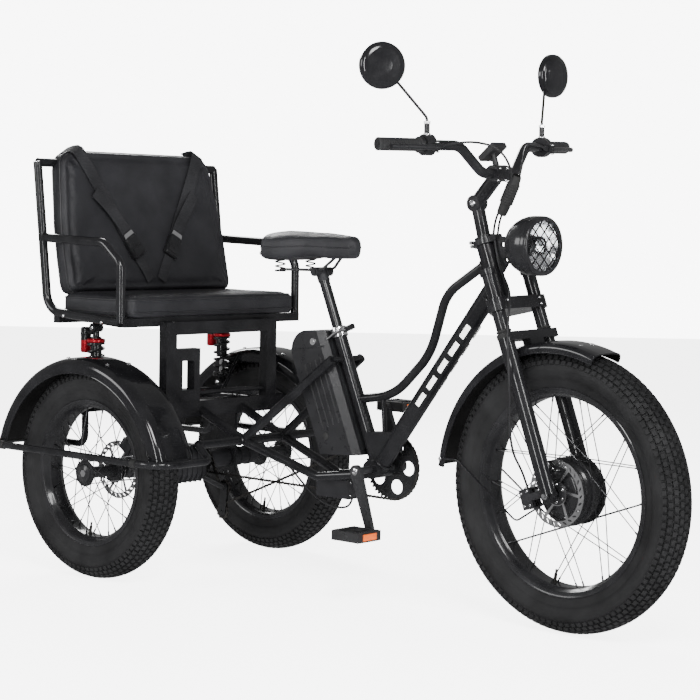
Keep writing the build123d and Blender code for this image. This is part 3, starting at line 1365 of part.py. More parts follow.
def saddle_mount():
    """Clamp, the two rails and the coil springs under the saddle."""
    head = post_head()
    low = SADDLE_BOTTOM + SADDLE_BASE_RISE
    clamp = Pos(head) * Box(SEAT_POST_DIAMETER * 1.6, RAIL_SPREAD * 2.4, SEAT_POST_DIAMETER)
    rail_z = head.Z + RAIL_WIRE
    spring_x = SADDLE_NOSE_X - SADDLE_LENGTH + SADDLE_SPRING_PLACE
    nose_x = SADDLE_NOSE_X - SADDLE_SPRING_PLACE
    for side in (1, -1):
        foot = (spring_x, SADDLE_SPRING_Y * side, rail_z)
        corner = (spring_x + SADDLE_SPRING_Y, RAIL_SPREAD * side, rail_z)
        front = (nose_x - SADDLE_SPRING_Y, RAIL_SPREAD * side, rail_z)
        tip = (nose_x, RAIL_WIRE * side, low + RAIL_WIRE)
        clamp += bent_tube([foot, corner, front, tip], [SADDLE_SPRING_RADIUS] * 2, RAIL_WIRE)
        pitch = SADDLE_SPRING_LENGTH / SADDLE_SPRING_COILS
        at = Pos(spring_x, SADDLE_SPRING_Y * side, low - SADDLE_SPRING_LENGTH)
        clamp += at * Cylinder(SADDLE_SPRING_RADIUS / 2, SADDLE_SPRING_LENGTH + SADDLE_BASE_RISE, align=STANDING)
        for count in range(SADDLE_SPRING_COILS):
            clamp += at * Pos(0, 0, pitch * count) * Cylinder(SADDLE_SPRING_RADIUS, pitch / 2, align=STANDING)
    return clamp - seat_post_tube() - saddle()


def saddle():
    """Padded saddle lofted from its narrow nose to its wide rear."""
    height = SADDLE_TOP - SADDLE_BOTTOM
    sections = []
    for back_share, width_share, under_share, crown_share in SADDLE_SECTION_SHARES:
        half = SADDLE_HALF_WIDTH * width_share
        under = height * under_share
        crown = height * crown_share
        outline = Polygon(
            (half / 2, under),
            (half, under + (crown - under) / 4),
            (half, under + (crown - under) / 2),
            (half * 3 / 4, crown - (crown - under) / 8),
            (half / 4, crown),
            (-half / 4, crown),
            (-half * 3 / 4, crown - (crown - under) / 8),
            (-half, under + (crown - under) / 2),
            (-half, under + (crown - under) / 4),
            (-half / 2, under),
            align=None,
        )
        place = Plane(
            origin=(SADDLE_NOSE_X - SADDLE_LENGTH * back_share, 0, SADDLE_BOTTOM), x_dir=(0, 1, 0), z_dir=(1, 0, 0)
        )
        sections += [place * outline]
    return loft(sections, ruled=True)


# Crank and pedals, built round the bracket
def crank_end(side):
    """Place of a pedal's axle."""
    angle = math.radians(CRANK_ANGLE + (0 if side < 0 else 180))
    return Vector(
        BRACKET_X + CRANK_LENGTH * math.cos(angle), CRANK_Y * side, BRACKET_Z + CRANK_LENGTH * math.sin(angle)
    )


def crank():
    """Spindle and the two arms."""
    inner = CRANK_Y - CRANK_THICKNESS / 2
    spindle = Pos(BRACKET) * disc(SPINDLE_RADIUS, -inner, inner)
    pieces = []
    for side in (1, -1):
        end = crank_end(side)
        low = min(inner * side, (inner + CRANK_THICKNESS) * side)
        high = low + CRANK_THICKNESS
        along = Vector(end.X - BRACKET_X, end.Z - BRACKET_Z)
        plan = Circle(CRANK_BOSS_RADIUS) + Pos(along) * Circle(CRANK_WIDTH / 2)
        arm = extrude(make_hull(plan.edges()), amount=CRANK_THICKNESS)
        pieces += [Pos(BRACKET_X, high, BRACKET_Z) * Rot(90, 0, 0) * arm]
        pin_low, pin_high = sorted((inner * side, (CRANK_Y + CRANK_THICKNESS / 2 + PEDAL_GAP + PEDAL_WIDTH) * side))
        pieces += [Pos(end.X, 0, end.Z) * disc(PEDAL_PIN_RADIUS, pin_low, pin_high)]
    return spindle.fuse(*pieces)


def toothed(radius, teeth, low, high):
    """Toothed wheel round the Y axis; the points of its outline step tip, tip, root, root."""
    points = []
    for count in range(teeth):
        for share, reach in ((0.0, radius), (0.3, radius), (0.55, radius - TOOTH_DEPTH), (0.8, radius - TOOTH_DEPTH)):
            turn = math.tau * (count + share) / teeth
            points += [(reach * math.cos(turn), reach * math.sin(turn))]
    blank = extrude(Plane.XZ * Polygon(*points, align=None), amount=high - low)
    return Pos(0, high, 0) * blank


def chainring():
    """Chainring with teeth and round windows, on the left of the crank."""
    half = CHAINRING_THICKNESS / 2
    plate = toothed(CHAINRING_RADIUS, CHAINRING_TEETH, CHAIN_Y - half, CHAIN_Y + half)
    for count in range(CHAINRING_HOLES):
        window = Pos(WINDOW_PLACE, 0, 0) * disc(WINDOW_RADIUS, CHAIN_Y - half - OVERRUN, CHAIN_Y + half + OVERRUN)
        plate -= Rot(0, 360 / CHAINRING_HOLES * count, 0) * window
    plate += disc(CRANK_BOSS_RADIUS + RIM_WALL, CHAIN_Y, CRANK_Y - CRANK_THICKNESS / 2)
    return Pos(BRACKET) * (plate - disc(SPINDLE_RADIUS, -CRANK_Y, CRANK_Y))


def pedal(side):
    """Pedal: an open cage round its barrel."""
    end = crank_end(side)
    near = CRANK_Y + CRANK_THICKNESS / 2 + PEDAL_GAP
    low, high = sorted((near * side, (near + PEDAL_WIDTH) * side))
    cage = block(
        (-PEDAL_LENGTH / 2, low, -PEDAL_HEIGHT / 2),
        (PEDAL_LENGTH / 2, high, PEDAL_HEIGHT / 2),
    )
    for place in (-1, 1):
        wide = PEDAL_LENGTH / 2 - PEDAL_HEIGHT
        cage -= Pos(place * (PEDAL_HEIGHT / 2 + wide / 2), (low + high) / 2, 0) * Box(
            wide, PEDAL_WIDTH - PEDAL_HEIGHT, PEDAL_HEIGHT * 2
        )
    cage -= disc(PEDAL_PIN_RADIUS + BEARING_PLAY, min(low, high) - OVERRUN, max(low, high) + OVERRUN)
    return Pos(end.X, 0, end.Z) * cage


# Chain drive
def sprockets():
    """Sprocket cluster round the axle housing, smallest outermost in line with the chain."""
    near = DIFFERENTIAL_Y + DIFFERENTIAL_WIDTH / 2
    half = SPROCKET_THICKNESS / 2
    stack = ring(AXLE_TUBE_RADIUS + RIM_WALL, AXLE_TUBE_RADIUS, near, CHAIN_Y + SPROCKET_STEP)
    bore = disc(AXLE_TUBE_RADIUS, near - OVERRUN, CHAIN_Y + SPROCKET_STEP * 2)
    for count, radius in enumerate(SPROCKET_RADII):
        place = CHAIN_Y - SPROCKET_STEP * count
        teeth = round(math.tau * radius / CHAIN_PITCH)
        stack += toothed(radius, teeth, place - half, place + half) - bore
    return Pos(0, 0, REAR_TYRE_RADIUS) * stack


def chain_circles(grow):
    """Wheels that the chain goes round: centre, radius of its line, and 1 where it keeps the wheel on its left."""
    chainring_line = CHAINRING_RADIUS - TOOTH_DEPTH / 2
    sprocket_line = SPROCKET_RADII[0] - SPROCKET_THICKNESS
    return [
        ((BRACKET_X, BRACKET_Z), chainring_line + grow, -1),
        (JOCKEY_LOWER, JOCKEY_RADIUS + grow, -1),
        (JOCKEY_UPPER, JOCKEY_RADIUS - grow, 1),
        ((0, REAR_TYRE_RADIUS), sprocket_line + grow, -1),
    ]


def chain_runs(grow):
    """Straight runs between the wheels, as pairs of points, in the order of travel."""
    circles = chain_circles(grow)
    runs = []
    for count, (centre, radius, sense) in enumerate(circles):
        next_centre, next_radius, next_sense = circles[(count + 1) % len(circles)]
        across = Vector(*next_centre) - Vector(*centre)
        lift = next_sense * next_radius - sense * radius
        run = math.sqrt(across.length**2 - lift**2)
        heading = math.atan2(across.Y, across.X) - math.atan2(lift, run)
        left = Vector(-math.sin(heading), math.cos(heading))
        start = Vector(*centre) - left * sense * radius
        end = Vector(*next_centre) - left * next_sense * next_radius
        runs += [(start, end)]
    return runs


def chain_outline(grow):
    """Closed face inside the chain's line, moved out by a distance."""
    circles = chain_circles(grow)
    runs = chain_runs(grow)
    edges = []
    for count, (start, end) in enumerate(runs):
        edges += [Line((start.X, start.Y), (end.X, end.Y))]
        centre, radius, sense = circles[(count + 1) % len(circles)]
        leave = runs[(count + 1) % len(runs)][0]
        first = math.degrees(math.atan2(end.Y - centre[1], end.X - centre[0]))
        last = math.degrees(math.atan2(leave.Y - centre[1], leave.X - centre[0]))
        sweep_angle = (last - first) % 360 if sense > 0 else -((first - last) % 360)
        edges += [CenterArc(centre, radius, first, sweep_angle)]
    return make_face(edges)


def chain():
    """Chain loop: two side plates, joined by rollers where it runs free of the wheels."""
    band = chain_outline(CHAIN_HEIGHT / 2) - chain_outline(-CHAIN_HEIGHT / 2)
    half = CHAIN_INNER_WIDTH / 2
    outer = half + CHAIN_PLATE
    pieces = []
    for inner_y in (CHAIN_Y - outer, CHAIN_Y + half):
        pieces += [Pos(0, inner_y + CHAIN_PLATE, 0) * extrude(Plane.XZ * band, amount=CHAIN_PLATE)]
    for start, end in chain_runs(0):
        along = (end - start).normalized()
        for count in range(CHAIN_FREE_LINKS, int((end - start).length / CHAIN_PITCH) - CHAIN_FREE_LINKS):
            at = start + along * CHAIN_PITCH * count
            roller = extrude(Plane.XZ * RegularPolygon(CHAIN_PIN_RADIUS, 6), amount=(half + CHAIN_PLATE / 2) * 2)
            pieces += [Pos(at.X, CHAIN_Y + half + CHAIN_PLATE / 2, at.Y) * roller]
    return pieces[0].fuse(*pieces[1:])


def derailleur():
    """Derailleur: two jockey wheels between the plates of their cage, on an arm from the gear case."""
    upper = Vector(*JOCKEY_UPPER)
    lower = Vector(*JOCKEY_LOWER)
    inner = CHAIN_INNER_WIDTH / 2 + CHAIN_PLATE + CAGE_CLEARANCE
    plan = Pos(upper) * Circle(CAGE_RADIUS) + Pos(lower) * Circle(CAGE_RADIUS)
    plate = extrude(Plane.XZ * make_hull(plan.edges()), amount=CAGE_PLATE)
    pieces = [Pos(0, CHAIN_Y - inner, 0) * plate, Pos(0, CHAIN_Y + inner + CAGE_PLATE, 0) * plate]
    half = JOCKEY_THICKNESS / 2
    for centre in (upper, lower):
        teeth = round(math.tau * JOCKEY_RADIUS / CHAIN_PITCH)
        wheel = toothed(JOCKEY_RADIUS, teeth, CHAIN_Y - half, CHAIN_Y + half)
        wheel += disc(PEDAL_PIN_RADIUS, CHAIN_Y - inner, CHAIN_Y + inner)
        pieces += [Pos(centre.X, 0, centre.Y) * wheel]
    foot_x, foot_z = DERAILLEUR_FOOT
    foot_y = DIFFERENTIAL_Y + DIFFERENTIAL_WIDTH / 2
    arm = rod((upper.X, CHAIN_Y - inner - CAGE_PLATE / 2, upper.Y), (foot_x, foot_y, foot_z), DERAILLEUR_ARM_RADIUS)
    arm = arm & block((-GUARD_BEND, foot_y, 0), (GUARD_BEND * 2, CHAIN_Y - inner - CAGE_PLATE / 2, GUARD_Z))
    return pieces[0].fuse(*pieces[1:], arm)


def steered(shape):
    """Turn a straight-ahead steering piece to where it rests."""
    axis = Axis(AXIS_FOOT, AXIS_UP)
    return shape.rotate(axis, REST_STEER)


def at_rear(shape, side):
    """Place a wheel piece on the rear axle."""
    return Pos(0, REAR_TRACK / 2 * side, REAR_TYRE_RADIUS) * shape


def at_front(shape):
    """Place a wheel piece on the front axle."""
    return Pos(FRONT_AXLE) * shape


def build():
    """Every sub-part in the working frame, by node name."""
    parts = {
        "head_tube": head_tube(),
        "down_tube": down_tube(),
        "seat_tube": seat_tube(),
        "top_tube": top_tube(),
        "frame_gusset": gusset(),
        "rear_stays": rear_stays(),
        "rear_frame": rear_frame(),
        "rear_axle": rear_axle(),
        "rear_caliper": rear_caliper(),
        "bench_frame": bench_frame(),
        "bench_portal": bench_portal(),
        "bench_cushion": bench_cushion(),
        "backrest": backrest(),
        "seat_belts": belts(),
        "rear_fender_left": rear_fender(1),
        "rear_fender_right": rear_fender(-1),
        "guard_bars": guard_bars(),
        "shocks": shocks(),
        "battery": battery(),
        "controller": controller(),
        "seat_post": seat_post(),
        "saddle_mount": saddle_mount(),
        "saddle": saddle(),
        "sprockets": sprockets(),
        "chain": chain(),
        "cable_frame": cable(FRAME_CABLE) - rear_stays() - controller(),
        "derailleur": derailleur(),
        "fork_crown": steered(fork_crown()),
        "fork_sliders": steered(fork_sliders()),
        "stem": steered(stem()),
        "handlebar": steered(handlebar()),
        "grips": steered(grips()),
        "brake_levers": steered(levers()),
        "mirror_left": steered(mirror_piece(1)),
        "mirror_right": steered(mirror_piece(-1)),
        "headlight": steered(headlight()),
        "headlight_lens": steered(headlight_lens()),
        "display": steered(display()),
        "front_caliper": steered(front_caliper()),
        "front_fender": steered(front_fender()),
        "cable_left": steered(lever_cable(1)),
        "cable_right": steered(lever_cable(-1)),
        "cable_brake": steered(cable(BRAKE_CABLE) - headlight()),
        "front_tyre": steered(at_front(tyre(FRONT_TYRE_RADIUS))),
        "front_rim": steered(at_front(rim(FRONT_TYRE_RADIUS))),
        "front_hub": steered(at_front(front_hub())),
        "front_disc": steered(at_front(front_disc())),
        "rear_disc": at_rear(rear_disc(), -1),
        "crank": crank(),
        "chainring": chainring(),
        "pedal_left": pedal(1),
        "pedal_right": pedal(-1),
    }
    for side, name in ((1, "left"), (-1, "right")):
        parts[f"rear_tyre_{name}"] = at_rear(tyre(REAR_TYRE_RADIUS), side)
        parts[f"rear_rim_{name}"] = at_rear(rim(REAR_TYRE_RADIUS), side)
        parts[f"rear_hub_{name}"] = at_rear(rear_hub(side), side)
    return parts


def main():
    os.makedirs("parts", exist_ok=True)
    parts = build()
    boxes = [shape.bounding_box() for shape in parts.values()]
    middle_x = (min(box.min.X for box in boxes) + max(box.max.X for box in boxes)) / 2
    middle_y = (min(box.min.Y for box in boxes) + max(box.max.Y for box in boxes)) / 2
    shift = Vector(-middle_x, -middle_y, 0)
    print("shift", round(shift.X, 3), round(shift.Y, 3), "low", round(min(box.min.Z for box in boxes), 3))
    for name, shape in parts.items():
        export_step(Pos(shift) * shape, f"parts/{name}.step")


main()
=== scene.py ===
# Electric tricycle, put together in the order of the real build. Metres; +X is
# forward, +Y is to the rider's left, +Z is up.
import json
import math

import bmesh
import bpy
from mathutils import Matrix, Vector


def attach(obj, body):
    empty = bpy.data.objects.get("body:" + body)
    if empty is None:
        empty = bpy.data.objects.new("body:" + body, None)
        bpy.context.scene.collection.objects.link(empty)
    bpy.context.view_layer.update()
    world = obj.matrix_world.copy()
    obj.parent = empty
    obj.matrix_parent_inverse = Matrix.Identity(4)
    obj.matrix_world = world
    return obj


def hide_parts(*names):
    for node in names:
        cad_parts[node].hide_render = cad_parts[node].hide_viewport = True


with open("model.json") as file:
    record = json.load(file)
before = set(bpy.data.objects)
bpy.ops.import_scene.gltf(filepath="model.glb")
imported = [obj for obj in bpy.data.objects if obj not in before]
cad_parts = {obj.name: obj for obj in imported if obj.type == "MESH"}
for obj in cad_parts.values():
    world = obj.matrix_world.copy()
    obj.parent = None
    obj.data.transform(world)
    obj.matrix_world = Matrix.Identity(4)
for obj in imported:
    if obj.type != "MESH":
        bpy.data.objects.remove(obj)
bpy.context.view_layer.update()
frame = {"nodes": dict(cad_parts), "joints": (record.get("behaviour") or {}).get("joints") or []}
nodes = frame["nodes"]


# Tyres. Fat rubber tyres moulded in one piece, with small square tread blocks on
# the crown and shoulders over smooth side walls, held by their beads in the rims.
rear_axle_x = -0.647549
wheelbase = 1.341
front_radius = 0.353
rear_radius = 0.297
half_track = 0.353
steering_joint = next(joint for joint in frame["joints"] if joint["name"] == "steering")
steering_foot = Vector(steering_joint["pos_m"])
rest_steer = math.radians(-4.1)
steer_turn = (
    Matrix.Translation(steering_foot)
    @ Matrix.Rotation(rest_steer, 4, Vector(steering_joint["axis"]))
    @ Matrix.Translation(-steering_foot)
)


def surface_finish(
    name, colour, roughness, metallic=0.0, coat=0.0, mottle=0.12, grain=900.0, relief=0.15, spread=0.08,
    shine=0.16
):
    """Material whose tone, gloss and fine relief wander as on a real surface."""
    material = bpy.data.materials.new(name)
    material.use_nodes = True
    tree = material.node_tree
    shader = tree.nodes["Principled BSDF"]
    shader.inputs["Metallic"].default_value = metallic
    shader.inputs["Specular IOR Level"].default_value = shine
    shader.inputs["Coat Weight"].default_value = coat * 0.45
    shader.inputs["Coat Roughness"].default_value = 0.06
    place = tree.nodes.new("ShaderNodeTexCoord")
    cloud = tree.nodes.new("ShaderNodeTexNoise")
    cloud.inputs["Scale"].default_value = 14.0
    cloud.inputs["Detail"].default_value = 6.0
    tree.links.new(place.outputs["Object"], cloud.inputs["Vector"])
    tone = tree.nodes.new("ShaderNodeValToRGB")
    tone.color_ramp.elements[0].position = 0.3
    tone.color_ramp.elements[1].position = 0.72
    tone.color_ramp.elements[0].color = [c * (1 - mottle) for c in colour] + [1]
    tone.color_ramp.elements[1].color = [min(1, c * (1 + mottle) + 0.002) for c in colour] + [1]
    tree.links.new(cloud.outputs["Fac"], tone.inputs["Fac"])
    tree.links.new(tone.outputs["Color"], shader.inputs["Base Color"])
    smudge = tree.nodes.new("ShaderNodeTexNoise")
    smudge.inputs["Scale"].default_value = 46.0
    smudge.inputs["Detail"].default_value = 4.0
    tree.links.new(place.outputs["Object"], smudge.inputs["Vector"])
    gloss = tree.nodes.new("ShaderNodeMapRange")
    gloss.inputs["From Min"].default_value = 0.3
    gloss.inputs["From Max"].default_value = 0.7
    gloss.inputs["To Min"].default_value = max(0.03, roughness - spread)
    gloss.inputs["To Max"].default_value = min(1.0, roughness + spread)
    tree.links.new(smudge.outputs["Fac"], gloss.inputs["Value"])
    tree.links.new(gloss.outputs["Result"], shader.inputs["Roughness"])
    grit = tree.nodes.new("ShaderNodeTexNoise")
    grit.inputs["Scale"].default_value = grain
    tree.links.new(place.outputs["Object"], grit.inputs["Vector"])
    bump = tree.nodes.new("ShaderNodeBump")
    bump.inputs["Strength"].default_value = relief
    bump.inputs["Distance"].default_value = 0.0006
    tree.links.new(grit.outputs["Fac"], bump.inputs["Height"])
    tree.links.new(bump.outputs["Normal"], shader.inputs["Normal"])
    return material


def make_piece(name, shape, material, body, node=None, smooth=True):
    """Mesh piece in its finish, riding on its body, in the place of a CAD node if one is named."""
    points, faces = joined(*shape) if isinstance(shape, list) else shape
    mesh = bpy.data.meshes.new(name)
    mesh.from_pydata([tuple(point) for point in points], [], faces)
    mesh.materials.append(material)
    piece = bpy.data.objects.new(name, mesh)
    bpy.context.collection.objects.link(piece)
    cleaned = bmesh.new()
    cleaned.from_mesh(mesh)
    bmesh.ops.remove_doubles(cleaned, verts=cleaned.verts, dist=0.00001)
    bmesh.ops.recalc_face_normals(cleaned, faces=cleaned.faces)
    cleaned.to_mesh(mesh)
    cleaned.free()
    for face in mesh.polygons:
        face.use_smooth = smooth
    if smooth:
        mesh.set_sharp_from_angle(angle=math.radians(38))
    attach(piece, body)
    if node is not None:
        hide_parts(node)
    return piece


def lathe(profile, steps=96):
    """Points and faces of a profile of (radius, y) turned round the Y axis."""
    points = []
    for row in range(steps):
        turn = math.tau * row / steps
        points += [Vector((r * math.cos(turn), y, r * math.sin(turn))) for r, y in profile]
    faces = []
    span = len(profile)
    for row in range(steps):
        near = row * span
        far = (row + 1) % steps * span
        faces += [(near + k, near + k + 1, far + k + 1, far + k) for k in range(span - 1)]
    return points, faces


def joined(*meshes):
    """Several lists of points and faces as one."""
    points = []
    faces = []
    for some_points, some_faces in meshes:
        base = len(points)
        points += list(some_points)
        faces += [tuple(base + k for k in face) for face in some_faces]
    return points, faces


def moved(mesh, matrix):
    """The same mesh, or list of meshes joined, put somewhere else."""
    points, faces = joined(*mesh) if isinstance(mesh, list) else mesh
    return [matrix @ Vector(point) for point in points], faces


tyre_rubber = surface_finish(
    "tyre_rubber", (0.005, 0.005, 0.0053), 0.6, mottle=0.2, grain=500.0, relief=0.3, shine=0.1
)
tyre_width = 0.1
tyre_height = 0.095
carcass_radius = 0.048
rib_slopes = (88, 113)
block_height = 0.0046
block_pitch = 0.0205
block_faces = ((4, 5, 6, 7), (0, 1, 5, 4), (1, 2, 6, 5), (2, 3, 7, 6), (3, 0, 4, 7))
block_rows = [0, 17, -17, 34, -34, 51, -51, 67, -67]


def tyre_shape(radius):
    """Carcass and tread blocks of a tyre round the Y axis."""
    core = radius - carcass_radius
    rise = carcass_radius - block_height
    half = tyre_width / 2 - 0.0006
    profile = [(radius - 0.103, 0.03), (radius - 0.1, 0.0345), (radius - 0.092, 0.0365)]
    for step in range(49):
        angle = math.radians(125 - 250 * step / 48)
        slope = abs(math.degrees(angle))
        ridge = 0.0007 if any(abs(slope - place) < 3 for place in rib_slopes) else 0.0
        profile += [(core + (rise + ridge) * math.cos(angle), (half + ridge * 0.8) * math.sin(angle))]
    profile += [(r, -y) for r, y in reversed(profile[:3])]
    carcass = lathe(profile, 180)
    around = round(math.tau * radius / block_pitch)
    points = []
    faces = []
    for row, slope in enumerate(block_rows):
        angle = math.radians(slope)
        out = Vector((math.cos(angle), math.sin(angle)))
        side = Vector((-math.sin(angle), math.cos(angle)))
        foot = Vector((core + (rise - 0.001) * math.cos(angle), (half - 0.001) * math.sin(angle)))
        for count in range(around):
            turn = math.tau * (count + (0.5 if (row + 1) // 2 % 2 else 0.0)) / around
            base = len(points)
            for lift, across, along in ((0.0, 0.006, 0.0076), (block_height + 0.001, 0.0049, 0.0064)):
                for a, c in ((-1, -1), (1, -1), (1, 1), (-1, 1)):
                    r, y = foot + out * lift + side * a * across
                    spot = turn + c * along / radius
                    points += [(r * math.cos(spot), y, r * math.sin(spot))]
            faces += [tuple(base + k for k in face) for face in block_faces]
    return joined(carcass, (points, faces))


front_axle = Matrix.Translation((rear_axle_x + wheelbase, 0, front_radius))
front_wheel_place = steer_turn @ front_axle
rear_wheel_places = {
    "left": Matrix.Translation((rear_axle_x, half_track, rear_radius)),
    "right": Matrix.Translation((rear_axle_x, -half_track, rear_radius)) @ Matrix.Scale(-1, 4, (0, 1, 0)),
}
wheels = [("front", "", front_radius, front_wheel_place)]
wheels += [("rear", f"_{side}", rear_radius, place) for side, place in rear_wheel_places.items()]
for end, side, radius, place in wheels:
    tread = moved(tyre_shape(radius), place)
    make_piece(
        f"{end}_tyre_tread{side}", tread, tyre_rubber, f"{end}_wheel{side}",
        f"{end}_tyre{side}"
    )

# Rims. Wide rolled channels in polished black paint, with a hooked lip each side
# and a dropped well where the spokes' nipples seat. A valve stands in each.
rim_paint = surface_finish(
    "rim_paint", (0.006, 0.006, 0.0065), 0.2, coat=0.3, mottle=0.2, grain=300.0, relief=0.04
)
valve_brass = surface_finish("valve_brass", (0.03, 0.029, 0.027), 0.4, metallic=0.6)


def skinned(rings, capped=True, round_again=False):
    """Skin over rings of as many points each, with caps on its ends or joined end to end."""
    size = len(rings[0])
    count = len(rings)
    faces = []
    for row in range(count if round_again else count - 1):
        near = row * size
        far = (row + 1) % count * size
        faces += [(near + k, near + (k + 1) % size, far + (k + 1) % size, far + k) for k in range(size)]
    if capped:
        faces += [tuple(range(size))[::-1], tuple(range((count - 1) * size, count * size))]
    return [point for ring in rings for point in ring], faces


def circle_loop(radius, steps=24, x=0.0, z=0.0):
    """Closed loop of points on a circle."""
    turns = [math.tau * k / steps for k in range(steps)]
    return [(x + radius * math.cos(turn), z + radius * math.sin(turn)) for turn in turns]


def rod_shape(start, end, radius, sides=12, end_radius=None):
    """Round bar between two points, with closed ends."""
    start = Vector(start)
    end = Vector(end)
    turn = (end - start).to_track_quat("Z", "Y").to_matrix()
    ends = ((start, radius), (end, radius if end_radius is None else end_radius))
    return skinned(
        [[spot + turn @ Vector((x, z, 0)) for x, z in circle_loop(size, sides)] for spot, size in ends]
    )


rim_section = [
    (0.002, 0.0355), (0.003, 0.0375), (0.0015, 0.039), (-0.001, 0.0388), (-0.003, 0.0375), (-0.01, 0.0372),
    (-0.013, 0.0345), (-0.0165, 0.024), (-0.0215, 0.0185), (-0.022, 0.01),
]


def rim_shape(radius):
    """Channel section of a rim round the Y axis."""
    flange = radius - tyre_height
    half = [(flange + rise, y) for rise, y in rim_section]
    outside = half + [(r, -y) for r, y in reversed(half)]
    inside = [(flange - 0.019, 0.01), (flange - 0.018, 0.018), (flange - 0.007, 0.034)]
    inside = [(r, -y) for r, y in inside[::-1]] + inside
    return lathe(outside + [(flange, -0.0355)] + inside + [(flange + 0.002, 0.0355)], 144)


valve_turn = math.atan2(-0.241, -0.042)
for end, side, radius, place in wheels:
    channel = moved(rim_shape(radius), place)
    body = f"{end}_wheel{side}"
    make_piece(f"{end}{side}_rim_channel", channel, rim_paint, body, f"{end}_rim{side}")
    well = radius - tyre_height - 0.021
    toward = Vector((math.cos(valve_turn), 0, math.sin(valve_turn)))
    valve = joined(
        rod_shape(toward * well, toward * (well - 0.022), 0.0042, 14),
        rod_shape(toward * (well - 0.02), toward * (well - 0.034), 0.003, 12),
        rod_shape(toward * (well - 0.001), toward * (well - 0.004), 0.0065, 6),
    )
    make_piece(f"{end}{side}_valve", moved(valve, place), valve_brass, body)

# Spokes. Drawn steel wire, laced from the hub's flanges in crossing pairs, each
# drawn up by a nipple in the rim's well.
spoke_steel = surface_finish("spoke_steel", (0.07, 0.07, 0.073), 0.3, metallic=1.0, mottle=0.1, relief=0.02)
spoke_radius = 0.0014
spokes_per_flange = 18
spoke_lead = math.radians(62)


def laced_spokes(rim_radius, flange_radius, flange_places):
    """Round wire spokes and their nipples round the Y axis."""
    wires = []
    middle = sum(flange_places) / 2
    for place in flange_places:
        for count in range(spokes_per_flange):
            outer = math.tau / spokes_per_flange * count
            inner = outer + (spoke_lead if count % 2 else -spoke_lead)
            foot = Vector((flange_radius * math.cos(inner), place, flange_radius * math.sin(inner)))
            head = Vector(
                (
                    rim_radius * math.cos(outer), math.copysign(0.013, place - middle),
                    rim_radius * math.sin(outer)
                )
            )
            along = (head - foot).normalized()
            wires += [rod_shape(foot, head, spoke_radius, 7)]
            wires += [rod_shape(head - along * 0.013, head + along * 0.0015, 0.0024, 8)]
            bend = Vector((0, math.copysign(0.004, place - middle), 0))
            wires += [rod_shape(foot - bend, foot + bend * 0.8, 0.0022, 8)]
    return joined(*wires)


hub_flanges = {"front": (0.081, (-0.003, 0.039)), "rear": (0.032, (-0.0585, 0.0485))}
for end, side, radius, place in wheels:
    lacing = moved(laced_spokes(radius - 0.1155, *hub_flanges[end]), place)
    make_piece(f"{end}{side}_spokes", lacing, spoke_steel, f"{end}_wheel{side}")

# Hubs. The front one is a drum motor in cast aluminium, painted black, with a
# coned cover held by screws. The rear ones are turned steel in the same black.
hub_paint = surface_finish(
    "hub_paint", (0.006, 0.006, 0.0065), 0.26, coat=0.25, mottle=0.2, grain=260.0, relief=0.12
)
bright_screw = surface_finish("bright_screw", (0.55, 0.55, 0.56), 0.22, metallic=1.0)


def screw_shape(place, facing, radius, height):
    """Button-headed screw with a domed head."""
    place = Vector(place)
    facing = Vector(facing).normalized()
    turn = facing.to_track_quat("Z", "Y").to_matrix()
    rings = ((1.0, 0.0), (1.0, 0.35), (0.8, 0.8), (0.42, 1.0), (0.4, 0.5), (0.0, 0.45))
    heads = []
    for share, lift in rings:
        heads += [[place + turn @ Vector((x, z, height * lift)) for x, z in circle_loop(radius * share, 12)]]
    return skinned(heads, capped=False)


drum_profile = [
    (
        0.0076, -0.036
    ), (0.03, -0.0362), (0.048, -0.036), (0.053, -0.0345), (0.074, -0.0125), (0.0775, -0.009), (0.078, -0.006),
    (0.0855, -0.0058), (0.086, -0.0052), (0.086, -0.0008), (0.0855, -0.0002), (0.0775, 0.0), (0.077, 0.004),
    (0.077, 0.032), (0.0775, 0.036), (0.0855, 0.0362), (0.086, 0.0368), (0.086, 0.0412), (0.0855, 0.0418),
    (0.0775, 0.042), (0.071, 0.0438), (0.03, 0.044), (0.0076, 0.044), (0.0076, -0.036),
]
drum = moved(lathe(drum_profile, 120), front_wheel_place)
make_piece("front_motor_drum", drum, hub_paint, "front_wheel", "front_hub")
cover_screws = []
for count in range(9):
    turn = math.tau * count / 9
    spot = Vector((math.cos(turn), 0, math.sin(turn)))
    cover_screws += [
        screw_shape(
            spot * 0.0635 + Vector((0, -0.0238, 0)), spot * 0.7 + Vector((0, -0.75, 0)), 0.0036, 0.0022
        )
    ]
    cover_screws += [screw_shape(spot * 0.064 + Vector((0, 0.0438, 0)), (0, 1, 0), 0.0036, 0.0022)]
make_piece(
    "front_cover_screws", moved(cover_screws, front_wheel_place), bright_screw, "front_wheel"
)
cover_rings = []
for r in (0.0555, 0.0705):
    face_y = (r - 0.05) * 0.9
    section = [(r - 0.0012, -0.036 + face_y), (r, -0.0375 + face_y), (r + 0.0012, -0.0352 + face_y)]
    cover_rings += [lathe(section, 96)]
make_piece("front_cover_ribs", moved(cover_rings, front_wheel_place), hub_paint, "front_wheel")
rear_hub_profile = [
    (0.0, 0.0568), (0.01, 0.0568), (
        0.012, 0.0552
    ), (0.022, 0.0545), (0.0245, 0.053), (0.025, 0.0505), (0.0365, 0.051),
    (0.037, 0.05), (0.037, 0.047), (0.0365, 0.046), (0.02, 0.045), (0.0168, 0.038), (0.016, 0.0), (
        0.0168, -0.046
    ),
    (0.02, -0.055), (0.0365, -0.056), (0.037, -0.057), (0.037, -0.06), (0.0365, -0.061), (0.0125, -0.061),
    (0.0125, -0.1005), (0.0, -0.101),
]
